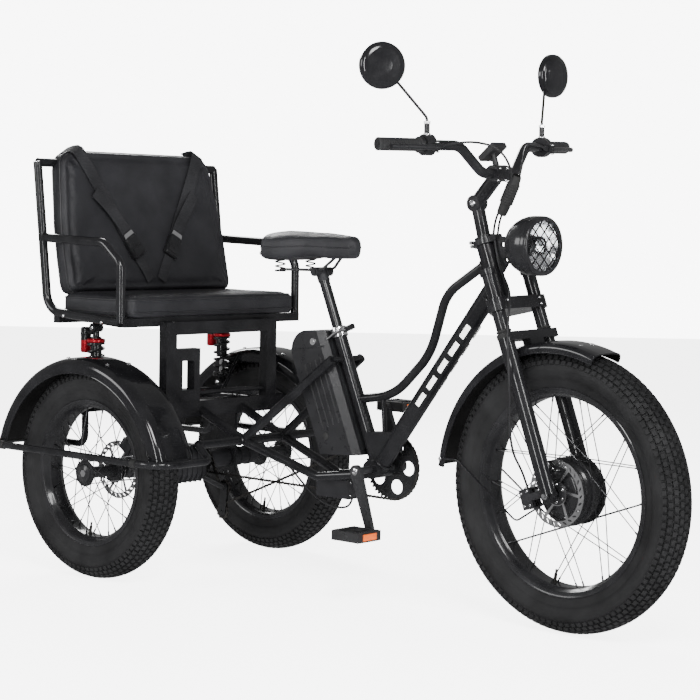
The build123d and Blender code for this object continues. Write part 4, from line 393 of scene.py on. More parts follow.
for side, place in rear_wheel_places.items():
    hub = moved(lathe(rear_hub_profile, 64), place)
    body = f"rear_wheel_{side}"
    make_piece(f"rear_hub_shell_{side}", hub, hub_paint, body, f"rear_hub_{side}")
    nut = joined(
        rod_shape((0, 0.0555, 0), (0, 0.0569, 0), 0.0105, 6),
        screw_shape((0, 0.0562, 0), (0, 1, 0), 0.0045, 0.0008),
    )
    make_piece(f"rear_hub_nut_{side}", moved(nut, place), bright_screw, body)

# Brake discs. Stamped stainless sheet with slanted vents in the ring and six
# arms; the front one is bolted to the motor's cover, the rear one to its hub.
disc_steel = surface_finish(
    "disc_steel", (0.5, 0.5, 0.51), 0.26, metallic=1.0, mottle=0.08, grain=1600.0, relief=0.08
)


arm_foot = 0.031
arm_lean = 0.2
slots = 26
slot_skew = 0.85
slot_half = 0.0068
slot_half_width = 0.0023
bolt_circle = 0.022
rear_disc_place = Matrix.Translation((rear_axle_x, -0.278, rear_radius))


def cut_plate(name, outline, holes, thickness):
    """Sheet in the XZ plane with holes, as points and faces; outlines are lists of (x, z)."""
    curve = bpy.data.curves.new(name, "CURVE")
    curve.dimensions = "2D"
    curve.fill_mode = "BOTH"
    curve.extrude = thickness / 2
    for loop in [outline] + holes:
        spline = curve.splines.new("POLY")
        spline.points.add(len(loop) - 1)
        for point, (x, z) in zip(spline.points, loop):
            point.co = (x, z, 0, 1)
        spline.use_cyclic_u = True
    holder = bpy.data.objects.new(name, curve)
    bpy.context.collection.objects.link(holder)
    bpy.context.view_layer.update()
    mesh = bpy.data.meshes.new_from_object(holder)
    lay = Matrix.Rotation(math.pi / 2, 4, "X")
    points = [lay @ vertex.co for vertex in mesh.vertices]
    faces = [tuple(face.vertices) for face in mesh.polygons]
    bpy.data.objects.remove(holder)
    bpy.data.curves.remove(curve)
    bpy.data.meshes.remove(mesh)
    return points, faces


def disc_shape(radius):
    """Vented rotor with waved edge and six arms."""
    outline = []
    for k in range(180):
        turn = math.tau * k / 180
        reach = radius - 0.0005 + 0.0005 * math.cos(turn * 12)
        outline += [(reach * math.cos(turn), reach * math.sin(turn))]
    holes = [circle_loop(0.012, 32)]
    inner_ring = radius - 0.0155
    for arm in range(6):
        start = math.tau * arm / 6 + 0.055
        end = math.tau * (arm + 1) / 6 - 0.055
        turns = [(inner_ring, start + (end - start) * k / 10) for k in range(11)]
        turns += [(arm_foot, end - 0.04 + arm_lean + (start + 0.04 - end + 0.04) * k / 6) for k in range(7)]
        holes += [[(reach * math.cos(turn), reach * math.sin(turn)) for reach, turn in turns]]
    for count in range(slots):
        turn = Matrix.Rotation(math.tau * count / slots, 2)
        skew = Matrix.Rotation(slot_skew, 2)
        slot = [Vector((slot_half * x, slot_half_width * z)) for x, z in circle_loop(1.0, 12)]
        middle = Vector((radius - 0.0088, 0))
        holes += [[tuple(turn @ (middle + skew @ spot)) for spot in slot]]
    for count in range(6):
        turn = math.tau * (count + 0.5) / 6
        holes += [circle_loop(0.0028, 12, bolt_circle * math.cos(turn), bolt_circle * math.sin(turn))]
    return cut_plate("rotor", outline, holes, 0.0022)


front_rotor = moved(disc_shape(0.084), front_wheel_place @ Matrix.Translation((0, -0.047, 0)))
make_piece("front_rotor", front_rotor, disc_steel, "front_wheel", "front_disc", smooth=False)
rotor_bolts = []
for count in range(6):
    turn = math.tau * (count + 0.5) / 6
    spot = (bolt_circle * math.cos(turn), -0.0481, bolt_circle * math.sin(turn))
    rotor_bolts += [screw_shape(spot, (0, -1, 0), 0.0042, 0.0024)]
spider = [(0.01, -0.0498), (0.028, -0.0488), (0.029, -0.0482), (0.029, -0.036), (0.01, -0.036)]
make_piece(
    "front_rotor_hub", moved(lathe(spider, 48), front_wheel_place), hub_paint, "front_wheel"
)
rotor_bolts = moved(rotor_bolts, front_wheel_place)
make_piece("front_rotor_bolts", rotor_bolts, bright_screw, "front_wheel")
rear_rotor = moved(disc_shape(0.082), rear_disc_place)
make_piece("rear_rotor", rear_rotor, disc_steel, "rear_wheel_right", "rear_disc", smooth=False)
rear_spider = lathe(
    [(0.0127, 0.0013), (0.028, 0.0013), (0.029, 0.0018), (0.0185, 0.004), (0.0185, -0.014), (0.0127, -0.014)],
    48
)
make_piece(
    "rear_rotor_hub", moved(rear_spider, rear_disc_place), hub_paint, "rear_wheel_right"
)

# Frame. Welded steel tubes in gloss black paint: the head, down, top and seat
# tubes, a boxed gusset at the bracket, the stays and the square rear frame.
frame_paint = surface_finish(
    "frame_paint", (0.004, 0.004, 0.0045), 0.18, coat=0.3, mottle=0.25, grain=220.0, relief=0.02, spread=0.05
)
weld_paint = surface_finish("weld_paint", (0.005, 0.005, 0.0055), 0.26, coat=0.25, grain=500.0, relief=0.5)


def repaint(material, *names):
    """Give CAD pieces a finish."""
    for name in names:
        nodes[name].data.materials.clear()
        nodes[name].data.materials.append(material)


repaint(
    frame_paint, "head_tube", "down_tube", "seat_tube", "top_tube", "frame_gusset", "rear_stays", "rear_frame",
    "bench_frame", "bench_portal", "guard_bars",
)


def weld_bead(place, facing, radius, ripple=0.0011):
    """Rippled bead of weld round a tube."""
    turn = Vector(facing).normalized().to_track_quat("Z", "Y").to_matrix()
    steps = max(16, int(math.tau * radius / 0.0022))
    rings = []
    for row in range(steps):
        angle = math.tau * row / steps
        fat = 0.0026 + ripple * (0.25 if row % 2 else -0.25)
        for_row = [(radius + x, z * 1.2) for x, z in circle_loop(fat, 6)]
        rings += [
            [
                Vector(place) + turn @ Vector((reach * math.cos(angle), reach * math.sin(angle), z))
                for reach, z in for_row
            ]
        ]
    return skinned(rings, capped=False, round_again=True)


def here(x, y, z):
    """Point measured from the rear axle's line on the ground, in the row frame."""
    return Vector((x + rear_axle_x, y, z))


def turned(profile, place, axis, steps=48):
    """Profile of (radius, height) turned round an axis through a place."""
    lay = axis.to_track_quat("Z", "Y").to_matrix().to_4x4() @ Matrix.Rotation(math.pi / 2, 4, "X")
    return moved(lathe(profile, steps), Matrix.Translation(place) @ lay)


steer_up = Vector(steering_joint["axis"])
head_line = here(1.2979, 0, 0.33689)
head_foot = head_line + steer_up * 0.5025
head_top = head_line + steer_up * 0.6585
beads = [
    weld_bead(here(1.0835, 0, 0.814) + Vector((0.004, 0, 0.004)), Vector((0.64, 0, 0.76)), 0.0245),
    weld_bead(here(0.7405, 0, 0.3665), Vector((0.64, 0, 0.76)), 0.0248),
    weld_bead(here(0.6625, 0, 0.531), Vector((1, 0, 0.02)), 0.0125),
    weld_bead(here(1.06, 0, 0.902), Vector((0.9, 0, 0.42)), 0.0125),
]
for side in (1, -1):
    beads += [weld_bead(here(x, 0.205 * side, 0.468), (1, 0, 0), 0.0152) for x in (0.131, -0.147)]
    beads += [weld_bead(here(0.297, y * side, 0.392), (0, 1, 0), 0.0127) for y in (0.0675, 0.0965)]
    beads += [weld_bead(here(0.0, 0.191 * side, 0.468), (0, 1, 0), 0.0122)]
make_piece("frame_welds", beads, weld_paint, "chassis")

# Head set. Two pressed alloy cups in black, with bearings, one at each end of
# the head tube.
cup_alloy = surface_finish("cup_alloy", (0.03, 0.03, 0.032), 0.24, metallic=0.6, coat=0.3)
cup_rows = []
for spot, way in ((head_top, 1), (head_foot, -1)):
    rows = [
        (0.0252, 0.012), (0.0268, 0.0115), (0.0278, 0.009), (0.0278, 0.003), (0.0262, 0.001), (0.0252, 0.0008)
    ]
    cup_rows += [turned([(r, y * way) for r, y in rows], spot, steer_up, 64)]
make_piece("head_cups", cup_rows, cup_alloy, "chassis")

# Tube bars. Plain pale bars along both flanks of the down tube, sprayed through
# a stencil over the black paint.
pale_bar = surface_finish("pale_bar", (0.78, 0.78, 0.76), 0.35, coat=0.3, mottle=0.06)
tube_top = Vector((1.0835 + rear_axle_x, 0, 0.814))
tube_foot = Vector((0.756 + rear_axle_x, 0, 0.386))
tube_way = (tube_top - tube_foot).normalized()
tube_out = Vector((tube_way.z, 0, -tube_way.x))


def tube_patch(low, high, start, end, radius=0.02425):
    """Thin patch on the down tube, between two places along it and two angles round it."""
    points = []
    faces = []
    for row in range(2):
        for k in range(9):
            angle = start + (end - start) * k / 8
            along = tube_foot + tube_way * (low if row == 0 else high)
            points += [
                along + Vector((0, -math.cos(angle), 0)) * radius + tube_out * radius * math.sin(angle)
            ]
    faces += [(k, k + 1, 10 + k, 9 + k) for k in range(8)]
    return points, faces


bars = []
for count in range(5):
    low = 0.185 + count * 0.058
    bars += [tube_patch(low, low + 0.04, -0.42, 0.42)]
    bars += [tube_patch(low, low + 0.04, math.pi - 0.42, math.pi + 0.42)]
make_piece("down_tube_bars", bars, pale_bar, "chassis")

# Rear axle. A cast gear case with cooling ribs on a steel tube; the caliper
# and the small bolts on it are separate pieces.
cast_black = surface_finish(
    "cast_black", (0.009, 0.009, 0.01), 0.42, metallic=0.3, grain=420.0, relief=0.55, mottle=0.3
)
repaint(cast_black, "rear_axle", "rear_caliper", "front_caliper")
case_y = -0.062
case_rib = [
    (-0.0605, 0.262), (-0.0605, 0.332), (-0.052, 0.35), (0.052, 0.35), (0.0605, 0.332), (0.0605, 0.262),
    (0.052, 0.2435), (-0.052, 0.2435),
]
case_ribs = []
for count in range(7):
    y = case_y - 0.06 + count * 0.02
    case_ribs += [skinned([[here(x, y + half, z) for x, z in case_rib] for half in (-0.0016, 0.0016)])]
case_bolts = []
for side in (-1, 1):
    face_y = case_y + 0.075 * side
    for x, z in (
        (-0.046, 0.258), (-0.046, 0.336), (0.046, 0.258), (0.046, 0.336), (-0.05, 0.297), (0.05, 0.297)
    ):
        case_bolts += [screw_shape(here(x, face_y, z), (0, side, 0), 0.0052, 0.0034)]
make_piece("gear_case_ribs", case_ribs, cast_black, "chassis")
make_piece("gear_case_bolts", case_bolts, bright_screw, "chassis")
bushings = []
for side in (1, -1):
    for y in (0.2, 0.236):
        ring = lathe([(0.0262, -0.006), (0.0285, -0.005), (0.0285, 0.005), (0.0262, 0.006)], 40)
        bushings += [moved(ring, Matrix.Translation(here(0, y * side, rear_radius)))]
make_piece("axle_tube_rings", bushings, cast_black, "chassis")

# Bench cushion. A foam pad with square sides in black leatherette, piped round
# its top edge, on a plywood base between the side frames.
leatherette = surface_finish(
    "leatherette", (0.008, 0.008, 0.0092), 0.44, mottle=0.15, grain=1500.0, relief=0.35, spread=0.06
)
hide = leatherette.node_tree
cells = hide.nodes.new("ShaderNodeTexVoronoi")
cells.feature = "DISTANCE_TO_EDGE"
cells.inputs["Scale"].default_value = 420.0
hide_place = next(node for node in hide.nodes if node.type == "TEX_COORD")
hide.links.new(hide_place.outputs["Object"], cells.inputs["Vector"])
hide_bump = next(node for node in hide.nodes if node.type == "BUMP")
pores = hide.nodes.new("ShaderNodeMapRange")
pores.inputs["From Max"].default_value = 0.12
hide.links.new(cells.outputs["Distance"], pores.inputs["Value"])
hide.links.new(pores.outputs["Result"], hide_bump.inputs["Height"])
piping_hide = surface_finish("piping_hide", (0.009, 0.009, 0.01), 0.4, grain=900.0, relief=0.2)


def apply_modifiers(piece):
    """Turn a piece's modifiers into its mesh."""
    graph = bpy.context.evaluated_depsgraph_get()
    mesh = bpy.data.meshes.new_from_object(piece.evaluated_get(graph))
    old = piece.data
    piece.modifiers.clear()
    piece.data = mesh
    bpy.data.meshes.remove(old)


def puff(pad, cap, held):
    """Blow a closed pad up as cloth, each point by no more than cap; held picks its base."""
    remesh = pad.modifiers.new("even_mesh", "REMESH")
    remesh.mode = "VOXEL"
    remesh.voxel_size = 0.006
    apply_modifiers(pad)
    still = [(vertex.co.copy(), vertex.normal.copy()) for vertex in pad.data.vertices]
    cloth = pad.modifiers.new("stuffing", "CLOTH")
    cloth.settings.use_pressure = True
    cloth.settings.uniform_pressure_force = 4.0
    cloth.settings.effector_weights.gravity = 0
    cloth.settings.quality = 5
    cloth.point_cache.frame_start = 1
    cloth.point_cache.frame_end = 20
    base = pad.vertex_groups.new(name="held")
    base.add([vertex.index for vertex in pad.data.vertices if held(vertex.co)], 1.0, "REPLACE")
    cloth.settings.vertex_group_mass = "held"
    for step in range(1, 21):
        bpy.context.scene.frame_set(step)
    apply_modifiers(pad)
    bpy.context.scene.frame_set(1)
    for vertex, (rest, outward) in zip(pad.data.vertices, still):
        move = vertex.co - rest
        move -= outward * min(0, move.dot(outward) + 0.001)
        if move.length > cap:
            move *= cap / move.length
        vertex.co = rest + move
    pad.vertex_groups.clear()
    finer = pad.modifiers.new("finer", "SUBSURF")
    finer.levels = 1
    finer.render_levels = 1
    apply_modifiers(pad)
    for face in pad.data.polygons:
        face.use_smooth = True


def padded_block(name, outline, low, high, lift, cap, pins):
    """Stuffed leatherette pad from an outline in a plane of its own, which lift lays in place."""
    size = len(outline)
    middle = Vector((sum(p[0] for p in outline) / size, sum(p[1] for p in outline) / size))
    rings = [(0.93, low), (1.0, low + (high - low) * 0.16), (1.0, high - (high - low) * 0.2), (0.93, high)]
    loops = []
    for share, height in rings:
        loop = []
        for x, y in outline:
            away = Vector((x, y)) - middle
            flat = middle + away - away.normalized() * (1 - share) * 0.1
            loop += [lift @ Vector((flat.x, flat.y, height))]
        loops += [loop]
    pad = make_piece(name, skinned(loops), leatherette, "chassis")
    puff(pad, cap, lambda spot: pins(lift.inverted() @ spot))
    return pad


def on_skin(pad, points, lift=0.0006):
    """Nearest places on a pad's skin to a line of points, a hair above it."""
    line = []
    for point in points:
        _, spot, normal, _ = pad.closest_point_on_mesh(point)
        line += [spot + normal * lift]
    return line


def round_outline(corners, radius, steps=6):
    """Outline with its corners rounded."""
    loop = []
    size = len(corners)
    for k in range(size):
        before = Vector(corners[k - 1])
        corner = Vector(corners[k])
        after = Vector(corners[(k + 1) % size])
        bend = radius[k] if isinstance(radius, (list, tuple)) else radius
        start = corner + (before - corner).normalized() * bend
        end = corner + (after - corner).normalized() * bend
        for step in range(steps + 1):
            t = step / steps
            loop += [tuple(start * (1 - t) ** 2 + corner * 2 * t * (1 - t) + end * t**2)]
    return loop


def box_outline(left, low, right, high, bend):
    """Outline of an upright box with round corners."""
    return round_outline([(left, low), (right, low), (right, high), (left, high)], bend)


def tube_path(route, radius, sides=10, closed=False):
    """Round tube along a list of points."""
    route = [Vector(point) for point in route]
    size = len(route)
    rings = []
    normal = None
    for k, spot in enumerate(route):
        before = route[k - 1] if k > 0 or closed else spot
        after = route[(k + 1) % size] if k < size - 1 or closed else spot
        way = (after - before).normalized()
        if normal is None:
            normal = way.orthogonal().normalized()
        normal = (normal - way * normal.dot(way)).normalized()
        side = way.cross(normal)
        fat = radius[k] if isinstance(radius, (list, tuple)) else radius
        rings += [[spot + normal * x + side * z for x, z in circle_loop(fat, sides)]]
    return skinned(rings, capped=not closed, round_again=closed)


cushion_lift = Matrix.Translation((rear_axle_x, 0, 0))
cushion_low = 0.7295
cushion_high = 0.786
cushion_outline = box_outline(-0.187, -0.3345, 0.1055, 0.3345, 0.03)
cushion = padded_block(
    "bench_pad", cushion_outline, cushion_low, cushion_high, cushion_lift, 0.007,
    pins=lambda spot: spot.z < cushion_low + 0.005,
)
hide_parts("bench_cushion")
for name, back, front, half, height, radius in (
    ("bench_piping", -0.1905, 0.1075, 0.3365, 0.7795, 0.0026),
    ("bench_lower_piping", -0.1895, 0.107, 0.336, 0.7435, 0.0022),
):
    corners = box_outline(back, -half, front, half, 0.032)
    seam_line = on_skin(cushion, [here(x, y, height) for x, y in corners])
    make_piece(name, tube_path(seam_line, radius, 8, closed=True), piping_hide, "chassis")

# Backrest. A thick foam pad, wider at the foot than at the top, in the same
# leatherette, with a piped seam round its front edge. It leans back 12 degrees.
lean = math.radians(12)
backrest_lift = Matrix.Translation(here(-0.15, 0, 0.812)) @ Matrix(
    ((0, -math.sin(lean), math.cos(lean)), (1, 0, 0), (0, math.cos(lean), math.sin(lean)))
).to_4x4()
backrest_corners = [
    (-0.325, -0.018), (0.325, -0.018), (0.324, 0.15), (0.294, 0.396), (-0.294, 0.396), (-0.324, 0.15)
]
backrest_outline = round_outline(backrest_corners, [0.03, 0.03, 0.07, 0.055, 0.055, 0.07], 8)
backrest = padded_block(
    "backrest_pad", backrest_outline, -0.06, -0.007, backrest_lift, 0.008, pins=lambda spot: spot.z < -0.052
)
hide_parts("backrest")
seam_stand_off = 0.0045
for name, height in (("backrest_piping", -0.0185), ("backrest_rear_piping", -0.05)):
    loop = []
    for k, spot in enumerate(backrest_outline):
        after = backrest_outline[(k + 1) % len(backrest_outline)]
        way = (Vector(after) - Vector(backrest_outline[k - 1])).normalized() * seam_stand_off
        loop += [backrest_lift @ Vector((spot[0] + way.y, spot[1] - way.x, height))]
    seam_line = tube_path(on_skin(backrest, loop), 0.0024, 8, closed=True)
    make_piece(name, seam_line, piping_hide, "chassis")

# Belts. Two webbing straps over the backrest's front, from its top corners to
# buckles near its foot, with a loose tail each; the webbing has a woven rib.
webbing = surface_finish("webbing", (0.008, 0.008, 0.009), 0.72, mottle=0.2, grain=1800.0, relief=0.4)
weave = webbing.node_tree
ribs = weave.nodes.new("ShaderNodeTexWave")
ribs.inputs["Scale"].default_value = 160.0
ribs.inputs["Distortion"].default_value = 0.6
weave.links.new(
    next(node for node in weave.nodes if node.type == "TEX_COORD").outputs["Object"], ribs.inputs["Vector"]
)
weave.links.new(
    ribs.outputs["Fac"], next(node for node in weave.nodes if node.type == "BUMP").inputs["Height"]
)
buckle_plastic = surface_finish("buckle_plastic", (0.006, 0.006, 0.0065), 0.32, grain=700.0, relief=0.2)


strap_section = [
    (-1, 0.25), (
        -0.92, 0.62
    ), (-0.8, 0.5), (0, 0.46), (0.8, 0.5), (0.92, 0.62), (1, 0.25), (1, -0.5), (0, -0.5), (-1, -0.5)
]


def strap_shape(route, width, thickness, across):
    """Flat strap along a route, its width laid across the given way, with a raised selvedge."""
    rings = []
    for k, spot in enumerate(route):
        way = (route[min(k + 1, len(route) - 1)] - route[max(k - 1, 0)]).normalized()
        side = (Vector(across) - way * Vector(across).dot(way)).normalized()
        out = way.cross(side).normalized()
        half = width / 2
        rings += [[spot + side * half * share + out * thickness * lift for share, lift in strap_section]]
    return skinned(rings)


straps = []
buckles = []
metal = []
for side in (1, -1):
    foot = Vector((0.02 * side, 0.01))
    latch = Vector((0.078 * side, 0.11))
    head = Vector((0.236 * side, 0.384))
    for low, high, width, lift in ((foot, latch, 0.034, 0.0035), (latch, head, 0.042, 0.004)):
        way = (high - low).normalized()
        across = backrest_lift.to_3x3() @ Vector((way.y, -way.x, 0))
        route = []
        for k in range(25):
            spot = low.lerp(high, k / 24)
            wave = 0.0022 * math.sin(math.pi * k / 24) + 0.001 * math.sin(0.4 * k + side)
            route += [backrest_lift @ Vector((spot.x, spot.y, lift + wave))]
        if high is head:
            for reach, height in ((0.01, 0.003), (0.019, -0.008), (0.022, -0.03), (0.021, -0.055)):
                spot = head + way * reach
                route += [backrest_lift @ Vector((spot.x, spot.y, height))]
        straps += [strap_shape(route, width, 0.0022, across)]
    tail = []
    for k in range(15):
        spot = latch + way * 0.03 + (way + Vector((0.2 * side, 0)) * (k / 14)) * 0.155 * (k / 14)
        tail += [backrest_lift @ Vector((spot.x, spot.y, 0.0085 + 0.005 * math.sin(math.pi * k / 14)))]
    straps += [strap_shape(tail, 0.038, 0.002, across)]
    turn = backrest_lift @ Matrix.Translation((latch.x, latch.y, 0.013))
    turn = turn @ Matrix.Rotation(math.atan2(-way.x, way.y), 4, "Z")
    body = round_outline([(-0.026, -0.034), (0.026, -0.034), (0.023, 0.034), (-0.023, 0.034)], 0.009, 4)
    block = []
    for grow, height in ((0.92, -0.009), (1.0, -0.006), (1.0, 0.004), (0.9, 0.008)):
        block += [[turn @ Vector((x * grow, y * grow, height)) for x, y in body]]
    buckles += [skinned(block)]
    for heights, part, along, heap in (
        ((0.0078, 0.0096), 0.34, -0.012, buckles), ((0.001, 0.0032), 0.26, 0.038, metal)
    ):
        heap += [
            skinned(
                [[turn @ Vector((x * 0.8, y * part + along, height)) for x, y in body] for height in heights]
            )
        ]
make_piece("belt_straps", straps, webbing, "chassis", "seat_belts")
make_piece("belt_buckles", buckles, buckle_plastic, "chassis")
make_piece("belt_tongues", metal, bright_screw, "chassis")

# Bench frame. Bright plugs close the bent side frames and carriage bolts hold
# the seat strips; every joint has its bead of weld.
plugs = []
for side in (1, -1):
    plugs += [rod_shape(here(-0.2724, 0.353 * side, 1.1575), here(-0.2728, 0.353 * side, 1.161), 0.0122, 24)]
    for x in (-0.14, 0.02):
        plugs += [
            screw_shape(here(x, 0.3655 * side, 0.731 - 0.0686 * (x + 0.221)), (0, side, 0), 0.0055, 0.0035)
        ]
make_piece("bench_plugs", plugs, bright_screw, "chassis")
joints = []
for side in (1, -1):
    joints += [weld_bead(here(-0.247, 0.353 * side, 0.945) + Vector((0.0122, 0, 0)), (1, 0, 0), 0.0122)]
    joints += [weld_bead(here(0.118, (0.223 - 0.04) * side, 0.7145), (0, 0, 1), 0.01)]
make_piece("bench_welds", joints, weld_paint, "chassis")

# Drive. A steel chainring on alloy cranks, a roller chain of plates and rollers,
# a stack of sprockets and a sprung derailleur with two toothed wheels.
chain_steel = surface_finish("chain_steel", (0.12, 0.115, 0.11), 0.34, metallic=1.0, mottle=0.3, grain=1400.0)
crank_alloy = surface_finish(
    "crank_alloy", (0.014, 0.014, 0.015), 0.3, metallic=0.3, coat=0.3, mottle=0.12, grain=900.0, relief=0.12
)
ring_steel = surface_finish("ring_steel", (0.05, 0.05, 0.052), 0.3, metallic=0.9, mottle=0.15)
repaint(ring_steel, "chainring", "sprockets")
repaint(crank_alloy, "crank")
chain_plastic = surface_finish("chain_plastic", (0.007, 0.007, 0.0075), 0.45, grain=800.0)
repaint(chain_plastic, "derailleur")
bracket = Vector((0.725, 0.348))
guide_wheels = (Vector((0.084, 0.152)), Vector((0.092, 0.225)))
chain_wheels = [
    (bracket, 0.089, 1), (guide_wheels[0], 0.019, 1), (guide_wheels[1], 0.019, -1), (
        Vector((0.0, rear_radius)), 0.034, 1
    )
]
chain_y = 0.058
chain_pitch = 0.0127


def belt_line(wheels, step):
    """Even places along a belt round wheels: centre, radius, and 1 where it keeps the wheel on its left."""
    spots = []
    touch = []
    for k in range(len(wheels)):
        (a, ra, sa), (b, rb, sb) = wheels[k], wheels[(k + 1) % len(wheels)]
        gap = b - a
        reach = gap.length
        way = gap / reach
        off = (sa * ra - sb * rb) / reach
        hold = math.sqrt(max(0, 1 - off * off))
        normal = Vector((way.x * off + way.y * hold, way.y * off - way.x * hold))
        touch += [(a + normal * ra * sa, b + normal * rb * sb, normal)]
    for k in range(len(wheels)):
        leave, land, _ = touch[k]
        centre, radius, way_round = wheels[(k + 1) % len(wheels)]
        straight = (land - leave).length
        for n in range(max(2, int(straight / step))):
            spots += [leave + (land - leave) * n / max(2, int(straight / step))]
        start = math.atan2((land - centre).y, (land - centre).x)
        away = touch[(k + 1) % len(wheels)][0] - centre
        end = math.atan2(away.y, away.x)
        turn = (end - start) * way_round
        while turn < 0:
            turn += math.tau
        pieces = max(1, int(turn * radius / step))
        for n in range(pieces):
            angle = start + way_round * turn * n / pieces
            spots += [centre + Vector((math.cos(angle), math.sin(angle))) * radius]
    return spots


fine_line = belt_line(chain_wheels, 0.001)
lengths = [0.0]
for k in range(len(fine_line)):
    lengths += [lengths[-1] + (fine_line[(k + 1) % len(fine_line)] - fine_line[k]).length]
links = round(lengths[-1] / chain_pitch)
links += links % 2
pins = []
cursor = 0
for n in range(links):
    target = lengths[-1] * n / links
    while lengths[cursor + 1] < target:
        cursor += 1
    share = (target - lengths[cursor]) / (lengths[cursor + 1] - lengths[cursor])
    pins += [fine_line[cursor].lerp(fine_line[(cursor + 1) % len(fine_line)], share)]


def plate_outline(start, end, radius, waist):
    """Chain plate in two round lobes joined by a waist, as (x, z) points."""
    way = (end - start).normalized()
    side = Vector((-way.y, way.x))
    loop = []
    for centre, facing in ((start, -1), (end, 1)):
        for k in range(7):
            angle = math.radians(-70 + 140 * k / 6)
            loop += [
                centre + way * facing * radius * math.cos(angle) + side * facing * radius * math.sin(angle)
            ]
        loop += [(start + end) / 2 + side * waist * facing]
    return loop


plates = []
rollers = []
for n in range(links):
    a = pins[n]
    b = pins[(n + 1) % links]
    outer = n % 2 == 0
    for side in (1, -1):
        y = chain_y + side * (0.0031 if outer else 0.0021)
        loop = plate_outline(a, b, 0.0039, 0.0024)
        plates += [skinned([[here(p.x, y + half, p.y) for p in loop] for half in (-0.0004, 0.0004)])]
    for half, radius in ((0.0038, 0.0016), (0.0018, 0.0028)):
        rollers += [rod_shape(here(a.x, chain_y - half, a.y), here(a.x, chain_y + half, a.y), radius, 8)]
make_piece("chain_links", plates + rollers, chain_steel, "chassis", "chain", smooth=False)
ring_bolts = []
for count in range(5):
    turn = math.tau * (count + 0.5) / 5
    spot = here(bracket.x + 0.034 * math.cos(turn), 0.0592, bracket.y + 0.034 * math.sin(turn))
    ring_bolts += [screw_shape(spot, (0, 1, 0), 0.0045, 0.003)]
for side in (1, -1):
    ring_bolts += [screw_shape(here(bracket.x, 0.0983 * side, bracket.y), (0, side, 0), 0.0105, 0.004)]
make_piece("crank_bolts", ring_bolts, bright_screw, "crank")
jockeys = []
for x, z in guide_wheels:
    tips, roots = circle_loop(0.0175, 44), circle_loop(0.015, 44)
    loop = [tips[k] if k % 4 in (0, 1) else roots[k] for k in range(44)]
    cog = cut_plate("jockey", loop, [circle_loop(0.004, 12)], 0.0024)
    jockeys += [moved(cog, Matrix.Translation(here(x, chain_y, z)))]
    jockeys += [screw_shape(here(x, chain_y + 0.006 * way, z), (0, way, 0), 0.0042, 0.003) for way in (1, -1)]
make_piece("jockey_wheels", jockeys, chain_plastic, "chassis")

# Pedals. Moulded cages with a row of grip teeth and an amber reflector on each
# long side; they turn on steel pins.
pedal_plastic = surface_finish("pedal_plastic", (0.008, 0.008, 0.0085), 0.5, grain=900.0, relief=0.4)
reflector_amber = surface_finish(
    "reflector_amber", (0.42, 0.07, 0.008), 0.12, coat=0.5, grain=1500.0, relief=0.9
)
crank_reach = 0.165
pedal_foot = 0.1055
for side, name in ((1, "left"), (-1, "right")):
    repaint(pedal_plastic, f"pedal_{name}")
    crank_turn = math.radians(-71 + (0 if side < 0 else 180))
    end = here(
        bracket.x + crank_reach * math.cos(crank_turn), 0, bracket.y + crank_reach * math.sin(crank_turn)
    )
    middle_y = (pedal_foot + 0.045) * side
    reflectors = []
    teeth = []
    for way in (1, -1):
        middle = end + Vector((0.0462 * way, middle_y, 0))
        lens = []
        for depth, half_y, half_z in ((0.0, 0.026, 0.0085), (0.0022, 0.026, 0.0085), (0.003, 0.0244, 0.0069)):
            corners = ((-half_y, -half_z), (half_y, -half_z), (half_y, half_z), (-half_y, half_z))
            lens += [[middle + Vector((depth * way, y, z)) for y, z in corners]]
        points, faces = skinned(lens, capped=False)
        reflectors += [(points, faces + [(8, 9, 10, 11)])]
        for count in range(9):
            y = middle_y + (count - 4) * 0.0095
            for up_way in (1, -1):
                spot = end + Vector((0.0395 * way, y, 0.0128 * up_way))
                teeth += [rod_shape(spot, spot + Vector((0, 0, 0.0026 * up_way)), 0.0021, 6, 0.0011)]
    make_piece(f"pedal_reflectors_{name}", reflectors, reflector_amber, f"pedal_{name}")
    make_piece(f"pedal_teeth_{name}", teeth, pedal_plastic, f"pedal_{name}")
    cap_ends = [end + Vector((0, (pedal_foot + reach) * side, 0)) for reach in (0.09, 0.0925)]
    cap = rod_shape(*cap_ends, 0.0085, 24, 0.007)
    make_piece(f"pedal_cap_{name}", cap, pedal_plastic, f"pedal_{name}")

# Fork. Painted sliders with rubber seals on steel stanchions, clamped by a
# crown under the head tube; the wheel's axle nuts sit on its dropouts.
fork_paint = surface_finish(
    "fork_paint", (0.0045, 0.0045, 0.005), 0.2, coat=0.3, mottle=0.2, grain=260.0, relief=0.02
)
seal_rubber = surface_finish("seal_rubber", (0.007, 0.007, 0.007), 0.7, grain=900.0)
repaint(fork_paint, "fork_crown", "fork_sliders")


def on_fork(ahead, left, up):
    """Point measured along and ahead of the steering axis, at the photographed turn."""
    steer_ahead = Vector((steer_up.z, 0, -steer_up.x))
    return steer_turn @ (head_line + Vector((0, left, 0)) + steer_ahead * ahead + steer_up * up)


fork_up = (on_fork(0, 0, 1) - on_fork(0, 0, 0)).normalized()
fork_left = (on_fork(0, 1, 0) - on_fork(0, 0, 0)).normalized()
fork_ahead = (on_fork(1, 0, 0) - on_fork(0, 0, 0)).normalized()


